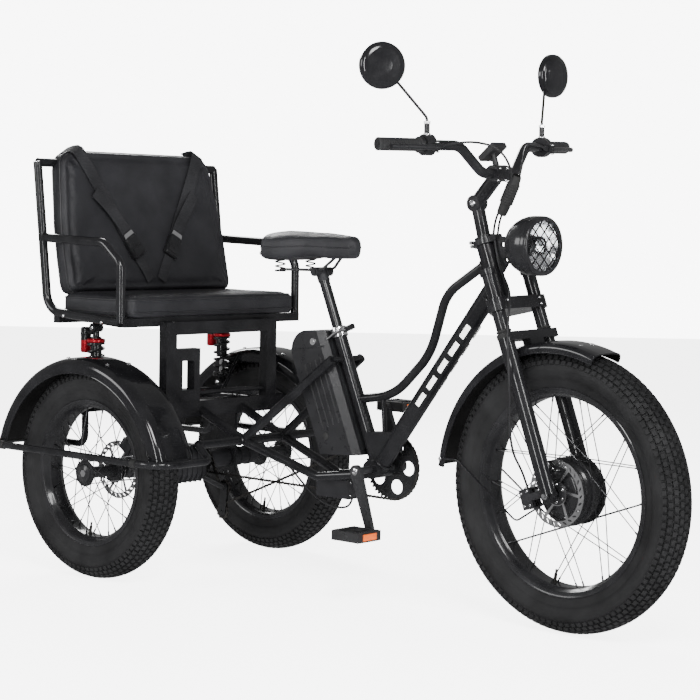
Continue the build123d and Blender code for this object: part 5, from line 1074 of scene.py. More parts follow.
leg_ahead = 0.046
leg_left = 0.078
seals = []
fork_screws = []
for side in (1, -1):
    y = leg_left * side
    leg_foot = on_fork(leg_ahead, y, 0)
    for section in (
        [(0.0172, 0.414), (0.0195, 0.413), (0.0212, 0.409), (0.0212, 0.402), (0.0203, 0.4)],
        [(0.0172, 0.4215), (0.019, 0.42), (0.0192, 0.4165), (0.0172, 0.415)],
    ):
        seals += [turned(section, leg_foot, fork_up)]
    cap = [(0.0, 0.0022), (0.009, 0.002), (0.011, 0.001), (0.0135, 0.0005), (0.0135, -0.0005)]
    fork_screws += [turned(cap, on_fork(leg_ahead, y, 0.58), fork_up, 6)]
    for up in (0.477, 0.493):
        fork_screws += [screw_shape(on_fork(0.0715, y * 0.8, up), fork_ahead, 0.0042, 0.004)]
    nut_lay = (fork_left * side).to_track_quat("Z", "Y").to_matrix().to_4x4()
    nut_place = Matrix.Translation(on_fork(leg_ahead, y + 0.0075 * side, -0.0005)) @ nut_lay
    nut = [
        rod_shape((0, 0, 0), (0, 0, 0.009), 0.0105, 6),
        rod_shape((0, 0, 0.008), (0, 0, 0.015), 0.006, 14, 0.005)
    ]
    fork_screws += [moved(nut, nut_place)]
make_piece("fork_seals", seals, seal_rubber, "steering")
make_piece("fork_bolts", fork_screws, bright_screw, "steering")
caliper_screws = []
for ahead, up in ((-0.048, -0.008), (-0.048, 0.024), (-0.03, -0.01), (-0.028, 0.026)):
    caliper_screws += [screw_shape(on_fork(ahead, -0.065, up), -fork_left, 0.004, 0.003)]
make_piece("caliper_bolts", caliper_screws, bright_screw, "steering")

# Front fender. A rolled steel channel in gloss paint with wired edges, carried by
# the crown and by two wires, with bright rivets.
fender_paint = surface_finish(
    "fender_paint", (0.0035, 0.0035, 0.004), 0.12, coat=0.5, mottle=0.2, grain=160.0, relief=0.03, spread=0.04
)


def fender_shell(centre, radius, half, skirt, start, end):
    """Rolled channel of sheet steel round a wheel, with its skirts' edges turned under."""
    gauge = 0.0022
    corner = min(0.024, skirt * 0.62)
    outside = [(half - 0.0006, radius - skirt), (half, radius - skirt + 0.004), (half, radius - corner)]
    outside += [
        (
            half - corner + corner * math.cos(math.radians(a)),
            radius - corner + (corner - 0.0025) * math.sin(math.radians(a))
        )
        for a in (12, 24, 36, 48, 60, 72, 82)
    ]
    outside += [(half * share, radius - 0.0024 * share**2) for share in (0.6, 0.45, 0.3, 0.15, 0.0)]
    outside += [(-y, r) for y, r in reversed(outside[:-1])]
    inside = []
    for k, (y, r) in enumerate(outside):
        a = Vector(outside[max(k - 1, 0)])
        b = Vector(outside[min(k + 1, len(outside) - 1)])
        way = (b - a).normalized()
        inside += [(y - gauge * way.y, r + gauge * way.x)]
    section = outside + inside[::-1]

    def round_wheel(y, r, angle):
        """Point at a radius and an angle round the wheel."""
        turn = math.radians(angle)
        return here(centre[0] + r * math.cos(turn), centre[2] + y, centre[1] + r * math.sin(turn))

    steps = 72
    angles = [start + (end - start) * k / steps for k in range(steps + 1)]
    points, faces = skinned(
        [[round_wheel(y, r, angle) for y, r in section] for angle in angles], capped=False
    )
    size = len(section)
    for row in (0, steps * size):
        faces += [
            (row + j, row + j + 1, row + size - 2 - j, row + size - 1 - j) for j in range(len(outside) - 1)
        ]
    beads = []
    for side in (1, -1):
        edge = (half - 0.0016) * side
        line = [round_wheel(edge, radius - skirt, start + (end - start) * k / 60) for k in range(61)]
        beads += [tube_path(line, 0.0026, 8)]
    for angle in (start, end):
        beads += [tube_path([round_wheel(y * 0.985, r - 0.001, angle) for y, r in outside], 0.0024, 8)]
    return joined((points, faces), *beads)


underseal = surface_finish("underseal", (0.004, 0.004, 0.004), 0.95, grain=600.0, relief=0.5, shine=0.02)


def coat_inside(fender, hub, reach, turn):
    """Dull black on a fender's inner faces."""
    fender.data.materials.append(underseal)
    back = turn.inverted()
    for face in fender.data.polygons:
        centre = back @ face.center
        flat = Vector((centre.x - hub.x, 0, centre.z - hub.z)).normalized() * reach
        inward = hub + flat - centre
        if (back.to_3x3() @ face.normal).dot(inward) > 0.3 * inward.length:
            face.material_index = 1


fender_x, fender_z = 1.326, 0.345
front_shell = fender_shell((fender_x, fender_z, 0.0), 0.38, 0.056, 0.026, 70, 174)
fender_wires = []
for side in (1, -1):
    bends = ((0.968, 0.057, 0.402), (1.026, 0.06, 0.406), (1.225, 0.062, 0.271), (1.334, 0.0682, 0.337))
    corners = [Vector((x, y * side, z)) for x, y, z in bends]
    line = [corners[0]]
    for before, corner, after in zip(corners, corners[1:], corners[2:]):
        first = corner + (before - corner).normalized() * 0.014
        last = corner + (after - corner).normalized() * 0.014
        line += [first.lerp(corner, t).lerp(corner.lerp(last, t), t) for t in (0, 0.25, 0.5, 0.75, 1)]
    line += [corners[-1]]
    fender_wires += [tube_path([here(*point) for point in line], 0.0025, 10)]
front_shell = moved([front_shell] + fender_wires, steer_turn)
front_fender = make_piece(
    "front_fender_shell", front_shell, fender_paint, "steering", "front_fender"
)
coat_inside(front_fender, here(fender_x, 0, fender_z), 0.362, steer_turn)
fender_rivets = []
for side in (1, -1):
    for angle in (80, 128):
        out = Vector((math.cos(math.radians(angle)), 0, math.sin(math.radians(angle))))
        spot = steer_turn @ (here(fender_x, 0.022 * side, fender_z) + out * 0.3795)
        fender_rivets += [screw_shape(spot, steer_turn.to_3x3() @ out, 0.0055, 0.003)]
    fender_rivets += [screw_shape(steer_turn @ here(0.968, 0.06 * side, 0.402), (0, side, 0), 0.0055, 0.004)]
make_piece("front_fender_rivets", fender_rivets, bright_screw, "steering")

# Stem and handlebar. Two forged arms clamp a bent steel bar, all in gloss black;
# the bright bolt at the stem's kink sets its angle.
repaint(fork_paint, "stem", "handlebar")


def steered(mesh):
    """The same mesh, turned with the front end."""
    return moved(mesh, steer_turn)


stem_bolts = []
for side in (1, -1):
    stem_bolts += [screw_shape(here(1.036, 0.0172 * side, 1.06), (0, side, 0), 0.0095, 0.006)]
    stem_bolts += [screw_shape(here(1.106, 0.0262 * side, 1.136), (0, side, 0), 0.007, 0.004)]
    for x, z in ((1.1245, 1.148), (1.118, 1.118)):
        stem_bolts += [
            screw_shape(here(x, 0.015 * side, z), (0.85, 0, 0.5 if z > 1.13 else -0.5), 0.0042, 0.0035)
        ]
for up in (0.666, 0.676):
    pin = head_line + steer_up * up - Vector((0.03, 0, 0.011))
    stem_bolts += [rod_shape(pin - Vector((0, 0.02, 0)), pin + Vector((0, 0.02, 0)), 0.0046, 14)]
make_piece("stem_bolts", steered(stem_bolts), bright_screw, "steering")
stem_ribs = []
for side in (1, -1):
    start = here(1.046, 0.0168 * side, 1.072)
    end = here(1.096, 0.0168 * side, 1.124)
    across = (end - start).cross(Vector((0, 1, 0))).normalized() * 0.0085
    stem_ribs += [rod_shape(start + shift, end + shift, 0.0026, 10) for shift in (across, -across)]
make_piece("stem_ribs", steered(stem_ribs), fork_paint, "steering")
sleeve_foot = here(1.131, 0, 1.06)
sleeve_head = here(1.161, 0, 1.118)
sleeve_way = (sleeve_head - sleeve_foot).normalized()
sleeve_rows = [(0.012, -0.03), (0.0135, -0.022), (0.0145, 0.0)]
for count in range(8):
    ring = ((0.0172, 0.003), (0.0172, 0.0062), (0.0155, 0.0072), (0.0155, 0.0095))
    sleeve_rows += [(r, up + count * 0.007) for r, up in ring]
sleeve_rows += [(0.0145, 0.062), (0.013, 0.075), (0.011, 0.08)]
sleeve = turned(sleeve_rows, sleeve_foot, sleeve_way, 28)
make_piece("loom_sleeve", steered(sleeve), seal_rubber, "steering")

# Grips. Soft rubber sleeves with ringed ribs and a flange at their inner end;
# a plastic collar stands beside each.
grip_rubber = surface_finish(
    "grip_rubber", (0.009, 0.009, 0.0095), 0.68, mottle=0.2, grain=1100.0, relief=0.4
)
grips = []
collars = []
for side in (1, -1):
    inner = Vector((1.0593 + rear_axle_x, 0.2436 * side, 1.2049))
    outer = Vector((1.03 + rear_axle_x, 0.362 * side, 1.206))
    along = (outer - inner).normalized()
    profile = [(0.0132, 0.0), (0.0198, 0.0), (0.0204, 0.0015), (0.02, 0.004), (0.0158, 0.0055)]
    for count in range(16):
        start = 0.008 + count * 0.0066
        profile += [
            (0.015, start), (0.0163, start + 0.001), (0.0164, start + 0.0042), (0.015, start + 0.0052)
        ]
    profile += [(0.016, 0.1145), (0.0165, 0.116), (0.0165, 0.12), (0.015, 0.1218), (0.0, 0.122)]
    grips += [turned(profile, inner, along, 40)]
    collar = [(0.0132, -0.022), (0.0175, -0.0215), (0.0182, -0.02), (0.0182, -0.003), (0.0176, -0.0012)]
    collars += [turned(collar + [(0.0132, -0.001)], inner, along, 40)]
make_piece("ribbed_grips", steered(grips), grip_rubber, "steering", "grips")
make_piece("throttle_collars", steered(collars), buckle_plastic, "steering")

# Brake levers. Cast clamps with a pivot pin, an adjusting barrel and a forged
# blade each, in black lacquer.
lever_black = surface_finish("lever_black", (0.012, 0.012, 0.013), 0.3, metallic=0.5, coat=0.3, grain=600.0)
repaint(lever_black, "brake_levers")
lever_details = []
barrels = []
for side in (1, -1):
    clamp = Vector((1.0647 + rear_axle_x, 0.2217 * side, 1.2048))
    pivot = clamp + Vector((0.036, 0, -0.006))
    lever_details += [screw_shape(pivot + Vector((0, 0, 0.0105)), (0, 0, 1), 0.0052, 0.003)]
    lever_details += [screw_shape(pivot - Vector((0, 0, 0.0105)), (0, 0, -1), 0.0052, 0.003)]
    lever_details += [screw_shape(clamp + Vector((-0.0155, 0, 0.004)), (-1, 0, 0.2), 0.004, 0.004)]
    start = here(1.09, 0.212 * side, 1.2005)
    aim = (here(1.104, 0.16 * side, 1.21) - start).normalized()
    barrel = [
        (0.0032, -0.004), (0.0056, -0.004), (0.006, 0.0), (0.006, 0.01), (0.0048, 0.0115), (0.0044, 0.02)
    ]
    barrels += [turned(barrel + [(0.0032, 0.0205)], start, aim, 14)]
make_piece("lever_bolts", steered(lever_details), bright_screw, "steering")
make_piece("lever_barrels", steered(barrels), lever_black, "steering")

# Mirrors. Round glossy shells on thin wire stems, with the glass let into the
# rider's side.
shell_gloss = surface_finish(
    "shell_gloss", (0.004, 0.004, 0.0045), 0.14, coat=0.5, mottle=0.1, grain=200.0, relief=0.03
)
mirror_glass = surface_finish(
    "mirror_glass", (0.88, 0.89, 0.9), 0.04, metallic=1.0, mottle=0.02, relief=0.0, spread=0.01
)
repaint(shell_gloss, "mirror_left", "mirror_right")
mirror_section = [
    (0.057, -0.0128), (0.0576, -0.01), (0.0576, -0.003), (0.0566, 0.002), (0.053, 0.0068), (0.0465, 0.0104),
    (0.037, 0.0126), (0.0, 0.0135),
]
for side, name, facing in ((1, "left", 3), (-1, "right", -29)):
    back = Vector((math.cos(math.radians(facing)), math.sin(math.radians(facing)), 0))
    centre = here(1.018, 0.33 * side, 1.396)
    glass = turned(
        [(0.0, 0.0004), (0.03, 0.0003), (0.052, 0.0002), (0.053, -0.0004)], centre - back * 0.013, -back, 64
    )
    make_piece(f"mirror_glass_{name}", steered(glass), mirror_glass, "steering")
    shell = turned(mirror_section, centre, back, 72)
    rim = turned(
        [(0.0528, -0.013), (0.0545, -0.0136), (0.0568, -0.0134), (0.0572, -0.0124)], centre, back, 72
    )
    make_piece(f"mirror_shell_{name}", steered(joined(shell, rim)), shell_gloss, "steering")
    foot = here(1.0647, 0.2217 * side, 1.231)
    nut = [
        rod_shape((0, 0, 0.026), (0, 0, 0.032), 0.0088, 6),
        rod_shape((0, 0, -0.004), (0, 0, 0.002), 0.009, 24)
    ]
    nut = moved(nut, Matrix.Translation(foot))
    make_piece(f"mirror_nut_{name}", steered(nut), bright_screw, "steering")

# Display. A sealed plastic case on a strap over the bar's clamp, its dark screen
# facing the rider, with a row of keys.
repaint(chain_plastic, "display")
screen_glass = surface_finish(
    "screen_glass", (0.02, 0.03, 0.03), 0.06, coat=1.0, mottle=0.1, relief=0.0, spread=0.01
)
tilt = Matrix.Translation(here(1.086, 0, 1.19)) @ Matrix.Rotation(math.radians(-38), 4, "Y")


def raised_panel(outline, low, high, place, shrink=0.0012):
    """Flat panel with a small bevel, in a plane of its own."""
    size = len(outline)
    cx = sum(p[0] for p in outline) / size
    cy = sum(p[1] for p in outline) / size
    rings = []
    for grow, height in ((0.0, low), (0.0, high - shrink * 0.6), (shrink, high)):
        ring = []
        for x, y in outline:
            away = Vector((x - cx, y - cy))
            away = away - away.normalized() * grow
            ring += [place @ Vector((cx + away.x, cy + away.y, height))]
        rings += [ring]
    return skinned(rings)


screen = raised_panel(box_outline(-0.012, -0.019, 0.026, 0.019, 0.003), 0.0075, 0.0088, tilt)
make_piece("display_screen", steered(screen), screen_glass, "steering")
key_rows = [box_outline(-0.025, y - 0.005, -0.017, y + 0.005, 0.002) for y in (-0.014, 0.0, 0.014)]
keys = [raised_panel(outline, 0.0075, 0.0092, tilt) for outline in key_rows]
make_piece("display_keys", steered(keys), grip_rubber, "steering")

# Headlight. A spun bowl in black lacquer with a rolled ring; inside it a silvered
# dish round a glass projector, behind a clear lens and a grid of wire.
bowl_lacquer = surface_finish(
    "bowl_lacquer", (0.006, 0.006, 0.0066), 0.22, coat=0.4, mottle=0.1, grain=300.0, relief=0.015
)
silvered_dish = surface_finish(
    "silvered_dish", (0.7, 0.7, 0.71), 0.22, metallic=1.0, mottle=0.03, relief=0.03, spread=0.03
)
lens_glass = surface_finish("lens_glass", (0.95, 0.96, 0.97), 0.04, mottle=0.01, relief=0.0, spread=0.01)
lens_shader = lens_glass.node_tree.nodes["Principled BSDF"]
lens_shader.inputs["Transmission Weight"].default_value = 1.0
lens_shader.inputs["IOR"].default_value = 1.12
repaint(bowl_lacquer, "headlight")
lamp = here(1.256, 0, 0.956)
lens_reach = 0.0635
lens = [
    (
        lens_reach, -0.006
    ), (lens_reach, -0.003), (0.057, -0.0018), (0.04, -0.0006), (0.02, -0.0001), (0.0, 0.0),
    (0.0, -0.0022), (0.02, -0.0023), (0.04, -0.0028), (0.061, -0.0055), (lens_reach, -0.006),
]
dish = [(0.0625, -0.008), (0.059, -0.013), (0.053, -0.02), (0.045, -0.025), (0.033, -0.028), (0.024, -0.029)]
bezel = [
    (0.024, -0.029), (0.0252, -0.018), (0.024, -0.011), (0.0215, -0.01), (0.0205, -0.0115), (0.0205, -0.029)
]
projector = [(0.0205, -0.016), (0.018, -0.011), (0.013, -0.0078), (0.007, -0.0062), (0.0, -0.0056)]
bowl = [
    (0.0746, -0.018), (0.075, -0.03), (0.0738, -0.042), (0.07, -0.056), (0.064, -0.069), (0.055, -0.082),
    (0.043, -0.093), (0.03, -0.1), (0.0203, -0.103),
]
ring = [
    (
        0.0628, -0.0085
    ), (0.0625, -0.001), (0.064, 0.0016), (0.067, 0.0024), (0.0705, 0.0018), (0.0734, -0.0004),
    (0.0747, -0.0046), (0.0749, -0.017), (0.0741, -0.0205),
]
for name, profile, steps, finish, slot, node in (
    ("lens", lens, 72, lens_glass, "lamp_glass", "headlight_lens"),
    ("dish", dish, 72, silvered_dish, "lamp_glass", None),
    ("projector_bezel", bezel, 56, shell_gloss, "dark_plastic", None),
    ("projector", projector, 48, mirror_glass, "lamp_glass", None),
    ("bowl", bowl, 80, bowl_lacquer, "dark_plastic", None),
    ("ring", ring, 80, bowl_lacquer, "dark_plastic", None),
):
    shape = steered(turned(profile, lamp, Vector((1, 0, 0)), steps))
    make_piece(f"lamp_{name}", shape, finish, "steering", node)
grid = []
lay = math.sqrt(0.5)
for way in (1, -1):
    depth = 0.0008 + 0.0006 * way
    for count in range(-2, 3):
        off = count * 0.0245 * lay
        reach = math.sqrt(lens_reach**2 - (count * 0.0245) ** 2) * lay
        a = Vector((depth, -reach - off * way, reach * way - off))
        b = Vector((depth, reach - off * way, -reach * way - off))
        grid += [rod_shape(lamp + a, lamp + b, 0.0018, 8)]
make_piece("lamp_grid", steered(grid), fork_paint, "steering")

# Rear fenders and guard bars. Gloss steel channels with wired edges, bolted to
# two stays each; bent tubes guard the wheels and carry rubber rings.
plain = Matrix.Identity(4)
fender_radius = 0.356
for side, name in ((1, "left"), (-1, "right")):
    shell = fender_shell((-0.024, 0.261, half_track * side), fender_radius, 0.068, 0.042, 16, 165)
    node = f"rear_fender_{name}"
    rear_fender = make_piece(
        f"rear_fender_shell_{name}", shell, fender_paint, "chassis", node
    )
    hub = here(-0.024, half_track * side, 0.261)
    coat_inside(rear_fender, hub, 0.33, plain)
    bolts = []
    for x in (-0.084, 0.078):
        turn = math.acos((x + 0.024) / fender_radius)
        out = Vector((math.cos(turn), 0, math.sin(turn)))
        for y in (-0.04, 0.04):
            bolts += [screw_shape(hub + Vector((0, y, 0)) + out * 0.3558, out, 0.006, 0.0032)]
    make_piece(f"rear_fender_bolts_{name}", bolts, bright_screw, "chassis")
ring = lathe([(0.0102, -0.009), (0.0122, -0.0085), (0.0122, 0.0085), (0.0102, 0.009)], 32)
clamps = []
for y in (0.448, -0.448):
    for x in (0.25, -0.3):
        clamps += [moved(ring, Matrix.Translation(here(x, y, 0.352)) @ Matrix.Rotation(math.pi / 2, 4, "Z"))]
make_piece("guard_rings", clamps, seal_rubber, "chassis")

# Shocks. Chromed rods in black bodies inside wound steel springs, with a red
# anodised collar and gas bottle each, bolted through their eyes.
spring_steel = surface_finish("spring_steel", (0.008, 0.008, 0.0085), 0.26, coat=0.4, grain=400.0)
anodised_red = surface_finish(
    "anodised_red", (0.22, 0.004, 0.01), 0.3, metallic=0.6, coat=0.3, mottle=0.1, grain=500.0
)
rod_chrome = surface_finish("rod_chrome", (0.75, 0.75, 0.76), 0.12, metallic=1.0, mottle=0.03, relief=0.02)


def coil_shape(place, radius, wire, height, turns, steps=22, flat=0.75):
    """Wound spring standing on a place, its end coils closed up."""
    route = []
    count = int(turns * steps)
    for k in range(count + 1):
        share = k / count
        closed = flat / turns
        if share < closed:
            lift = wire + share / closed * wire * 0.8
        elif share > 1 - closed:
            lift = height - wire - (1 - share) / closed * wire * 0.8
        else:
            lift = wire * 1.8 + (share - closed) / (1 - 2 * closed) * (height - wire * 3.6)
        turn = math.tau * turns * share
        route += [Vector(place) + Vector((radius * math.cos(turn), radius * math.sin(turn), lift))]
    return tube_path(route, wire, 8)


upright = Vector((0, 0, 1))
shock_length = 0.704 - 0.0005 - 0.013 - 0.508
shock_body = [(0.0, 0.078), (0.0165, 0.078), (0.0165, 0.15), (0.014, 0.156), (0.0, 0.158)]
lower_plate = [
    (0.0066, 0.016), (0.0255, 0.018), (0.0262, 0.02), (0.0262, 0.024), (0.025, 0.0255), (0.0066, 0.026)
]
red_collar = [
    (0.0165, 0.1405), (0.025, 0.1405), (0.0262, 0.142), (0.0262, 0.148), (0.0245, 0.15), (0.0165, 0.152)
]
bottle_foot = [(0.0, 0.0), (0.012, 0.0004), (0.0146, 0.003), (0.015, 0.006), (0.015, 0.036)]
bottle_head = [(0.015, 0.036), (0.015, 0.068), (0.0146, 0.071), (0.012, 0.0736), (0.0, 0.074)]
bottle_ring = [(0.0151, 0.05), (0.0156, 0.051), (0.0156, 0.057), (0.0151, 0.058)]
eye_ring = [
    (
        0.0065, -0.0165
    ), (0.0125, -0.0165), (0.013, -0.0155), (0.013, 0.0155), (0.0125, 0.0165), (0.0065, 0.0165)
]
springs = []
bodies = []
reds = []
rods = []
eyes = []
for side in (1, -1):
    foot = here(-0.125, 0.255 * side, 0.508)
    springs += [coil_shape(foot + upright * 0.024, 0.0225, 0.0033, 0.118, 6.5)]
    rods += [rod_shape(foot, foot + upright * shock_length * 0.55, 0.0065, 24)]
    bodies += [turned(profile, foot, upright, 40) for profile in (shock_body, lower_plate)]
    bottle = foot + Vector((-0.044, 0, shock_length - 0.074))
    reds += [turned(red_collar, foot, upright, 40), turned(bottle_foot, bottle, upright, 40)]
    bodies += [turned(profile, bottle, upright, 40) for profile in (bottle_head, bottle_ring)]
    neck = foot + upright * (shock_length - 0.014)
    bodies += [rod_shape(neck - Vector((0.032, 0, 0)), neck - Vector((0.01, 0, 0)), 0.0075, 20)]
    for low, high in ((0.006, 0.02), (0.154, shock_length - 0.006)):
        bodies += [rod_shape(foot + upright * low, foot + upright * high, 0.0095, 20)]
    for eye in (foot, foot + upright * shock_length):
        eyes += [turned(eye_ring, eye, Vector((0, 1, 0)), 36)]
        rods += [
            screw_shape(eye + Vector((0, 0.0166 * way, 0)), (0, way, 0), 0.0078, 0.004) for way in (1, -1)
        ]
make_piece("shock_springs", springs, spring_steel, "chassis", "shocks")
make_piece("shock_bodies", bodies, fork_paint, "chassis")
make_piece("shock_reds", reds, anodised_red, "chassis")
make_piece("shock_rods", rods, rod_chrome, "chassis")
make_piece("shock_eyes", eyes, fork_paint, "chassis")

# Battery. A moulded case clipped to the seat tube, in satin plastic, with a
# parting line, pressed ribs on both flanks, a key lock and a charging cap.
case_plastic = surface_finish(
    "case_plastic", (0.006, 0.006, 0.0066), 0.32, coat=0.1, mottle=0.2, grain=1300.0, relief=0.25
)
repaint(case_plastic, "battery")
seat_up = Vector((-0.3859, 0, 0.9225))
seat_back = Vector((-0.9225, 0, -0.3859))
seat_foot = here(bracket.x, 0, bracket.y)


def on_seat(behind, right, up):
    """Point measured along and behind the seat tube."""
    return seat_foot + seat_back * behind + Vector((0, right, 0)) + seat_up * up


case_ribs = []
for side in (1, -1):
    for behind in (0.052, 0.072, 0.092, 0.112):
        a = on_seat(behind, 0.0448 * side, 0.15)
        b = on_seat(behind, 0.0448 * side, 0.335)
        case_ribs += [rod_shape(a, b, 0.0024, 8)]
for side in (1, -1):
    seam = [on_seat(b, 0.0449 * side, u) for b, u in ((0.026, 0.36), (0.08, 0.372), (0.146, 0.392))]
    case_ribs += [tube_path(seam, 0.0011, 6)]
make_piece("battery_ribs", case_ribs, case_plastic, "chassis")
lock_profile = [
    (0.0, 0.003), (0.003, 0.003), (0.0034, 0.0014), (0.008, 0.0014), (0.0098, 0.003), (0.0104, 0.0016),
    (0.0104, -0.001),
]
lock = [
    turned(lock_profile, on_seat(0.06, 0.045 * side, 0.384), Vector((0, side, 0)), 32) for side in (1, -1)
]
make_piece("battery_lock", lock, rod_chrome, "chassis")
cap = turned(
    [(0.0, 0.0034), (0.0085, 0.0032), (0.01, 0.002), (0.0104, -0.001)], on_seat(0.11, -0.045, 0.13),
    Vector((0, -1, 0)), 28
)
make_piece("charging_cap", cap, seal_rubber, "chassis")
rail_outline = [(-0.018, 0.06), (0.018, 0.06), (0.018, 0.385), (-0.018, 0.385)]
rail_lay = Matrix(((0, seat_up.x, seat_back.x), (1, 0, 0), (0, seat_up.z, seat_back.z))).to_4x4()
rail = raised_panel(rail_outline, 0.0, 0.0038, Matrix.Translation(on_seat(0.0182, 0, 0)) @ rail_lay)
make_piece("battery_rail", rail, cast_black, "chassis")

# Controller. A die-cast box in black with a screwed lid at each end, behind the
# bracket shell.
repaint(cast_black, "controller")
lid_screws = []
for x, way, name in ((0.648, 1, "front"), (0.53, -1, "rear")):
    lay = Matrix.Translation(here(x, 0, 0.284)) @ Matrix(((0, 0, way), (1, 0, 0), (0, 1, 0))).to_4x4()
    lid = raised_panel(box_outline(-0.031, -0.02, 0.031, 0.024, 0.005), 0.0, 0.0018, lay)
    make_piece(f"controller_lid_{name}", lid, case_plastic, "chassis")
    for y in (-0.026, 0.026):
        for z in (0.268, 0.303):
            lid_screws += [screw_shape(here(x + 0.0016 * way, y, z), (way, 0, 0), 0.003, 0.0018)]
make_piece("controller_screws", lid_screws, bright_screw, "chassis")

# Seat post. A steel post in black paint, pinched in the seat tube by a bright
# quick-release collar with its lever laid back.
repaint(fork_paint, "seat_post")
collar = turned(
    [(0.0181, 0.374), (0.0216, 0.374), (0.0222, 0.376), (0.0222, 0.398), (0.0216, 0.4), (0.0181, 0.4004)],
    seat_foot, seat_up, 56
)
make_piece("seat_collar", collar, rod_chrome, "chassis")
lever_route = (
    (-0.03, -0.016, 0.387), (-0.026, -0.0285, 0.386), (-0.006, -0.0305, 0.383), (0.022, -0.029, 0.377)
)
lever = tube_path([on_seat(*spot) for spot in lever_route], [0.0044, 0.0046, 0.0042, 0.0034], 12)
make_piece("seat_lever", lever, rod_chrome, "chassis")
lever_pin = rod_shape(on_seat(-0.03, -0.02, 0.387), on_seat(-0.03, 0.02, 0.387), 0.0042, 16)
make_piece("seat_lever_pin", lever_pin, rod_chrome, "chassis")

# Saddle springs and rails. Wound springs stand on the ends of two bent steel
# rods, which the post's clamp holds.
rail_route = [
    (0.41, 0.062, 0.8726), (0.43, 0.052, 0.8726), (0.466, 0.03, 0.8726), (0.485, 0.024, 0.8726),
    (0.515, 0.024, 0.8728), (0.535, 0.0215, 0.88), (0.578, 0.01, 0.918),
]
saddle_springs = []
for side in (1, -1):
    foot = here(0.41, 0.062 * side, 0.8665)
    saddle_springs += [coil_shape(foot, 0.013, 0.002, 0.046, 4.6, 20)]
    for low in (0.0445, -0.0002):
        cup = [(0.0, low), (0.0155, low), (0.0155, low + 0.002), (0.0, low + 0.002)]
        saddle_springs += [turned(cup, foot, upright, 32)]
    saddle_springs += [tube_path([here(x, y * side, z) for x, y, z in rail_route], 0.004, 12)]
make_piece("saddle_springs", saddle_springs, spring_steel, "chassis", "saddle_mount")
head = Vector((0.5089 + rear_axle_x, 0, 0.8646))
clamp = [
    turned(
        [(0.0, -0.025), (0.016, -0.0248), (0.0168, -0.018), (0.0168, 0.012), (0.0, 0.0125)], head, seat_up, 36
    )
]
for half, radius, sides in ((0.034, 0.0125, 28), (0.0365, 0.0075, 6)):
    pin = rod_shape((0, -half, 0), (0, half, 0), radius, sides)
    clamp += [moved(pin, Matrix.Translation(head + upright * 0.004))]
make_piece("saddle_clamp", clamp, cast_black, "chassis")

# Saddle. Wide sprung seat: foam on a moulded base under stitched leatherette,
# with a seam round its skirt and two rivets at the back.
saddle_nose = 0.642
saddle_length = 0.292
saddle_half = 0.112
saddle_depth = 0.076
saddle_shares = [
    (0.00, 0.1, 0.45, 0.7), (0.06, 0.24, 0.16, 0.9), (0.3, 0.34, 0.14, 0.95), (0.5, 0.56, 0.2, 0.95),
    (0.72, 0.96, 0.06, 0.98), (0.9, 1.00, 0.02, 1.00), (1.00, 0.72, 0.2, 0.84),
]


def saddle_row(share):
    """Half width, underside and crown of the saddle at a share of its length behind the nose."""
    for k in range(len(saddle_shares) - 1):
        a, b = saddle_shares[k], saddle_shares[k + 1]
        if share <= b[0] + 1e-9:
            t = (share - a[0]) / (b[0] - a[0])
            return [a[j] + (b[j] - a[j]) * t for j in (1, 2, 3)]
    return list(saddle_shares[-1][1:])


def saddle_ring(share, shrink, steps=28):
    """Cross-section of the saddle, pulled in by a small depth."""
    width, under, crown = saddle_row(share)
    half = saddle_half * width - shrink
    low = 0.892 + saddle_depth * under + shrink
    high = 0.9 + saddle_depth * crown - shrink
    middle_z = low + (high - low) * 0.42
    ring = []
    for k in range(steps):
        turn = math.tau * k / steps
        c, s = math.cos(turn), math.sin(turn)
        y = half * math.copysign(abs(c) ** 0.5, c)
        above = (high - middle_z) * abs(s) ** 0.62
        below = (middle_z - low) * abs(s) ** 0.42
        z = middle_z + above if s > 0 else middle_z - below
        ring += [here(saddle_nose - saddle_length * share, y, z)]
    return ring


stations = [0.004, 0.03, 0.06, 0.12, 0.2, 0.3, 0.4, 0.5, 0.6, 0.68, 0.76, 0.84, 0.9, 0.95, 0.985]
saddle_shape = skinned([saddle_ring(share, 0.002) for share in stations])
saddle_pad = make_piece("saddle_pad", saddle_shape, leatherette, "chassis")
puff(saddle_pad, 0.005, held=lambda spot: spot.z < 0.914)
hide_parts("saddle")
seam_sides = {1: [], -1: []}
for share in [0.03 + 0.0188 * n for n in range(50)]:
    width, under, crown = saddle_row(share)
    z = 0.898 + saddle_depth * (under + (crown - under) * 0.44)
    for side, line in seam_sides.items():
        line += [here(saddle_nose - saddle_length * share, (saddle_half * width - 0.0005) * side, z)]
skirt_seam = tube_path(on_skin(saddle_pad, seam_sides[1] + seam_sides[-1][::-1]), 0.0016, 6, closed=True)
make_piece("saddle_seam", skirt_seam, piping_hide, "chassis")
rivets = []
for side in (-1, 1):
    spot = here(saddle_nose - saddle_length * 0.93, 0.098 * side, 0.916)
    rivets += [screw_shape(spot, (-0.35, side, 0), 0.0055, 0.003)]
make_piece("saddle_rivets", rivets, bright_screw, "chassis")

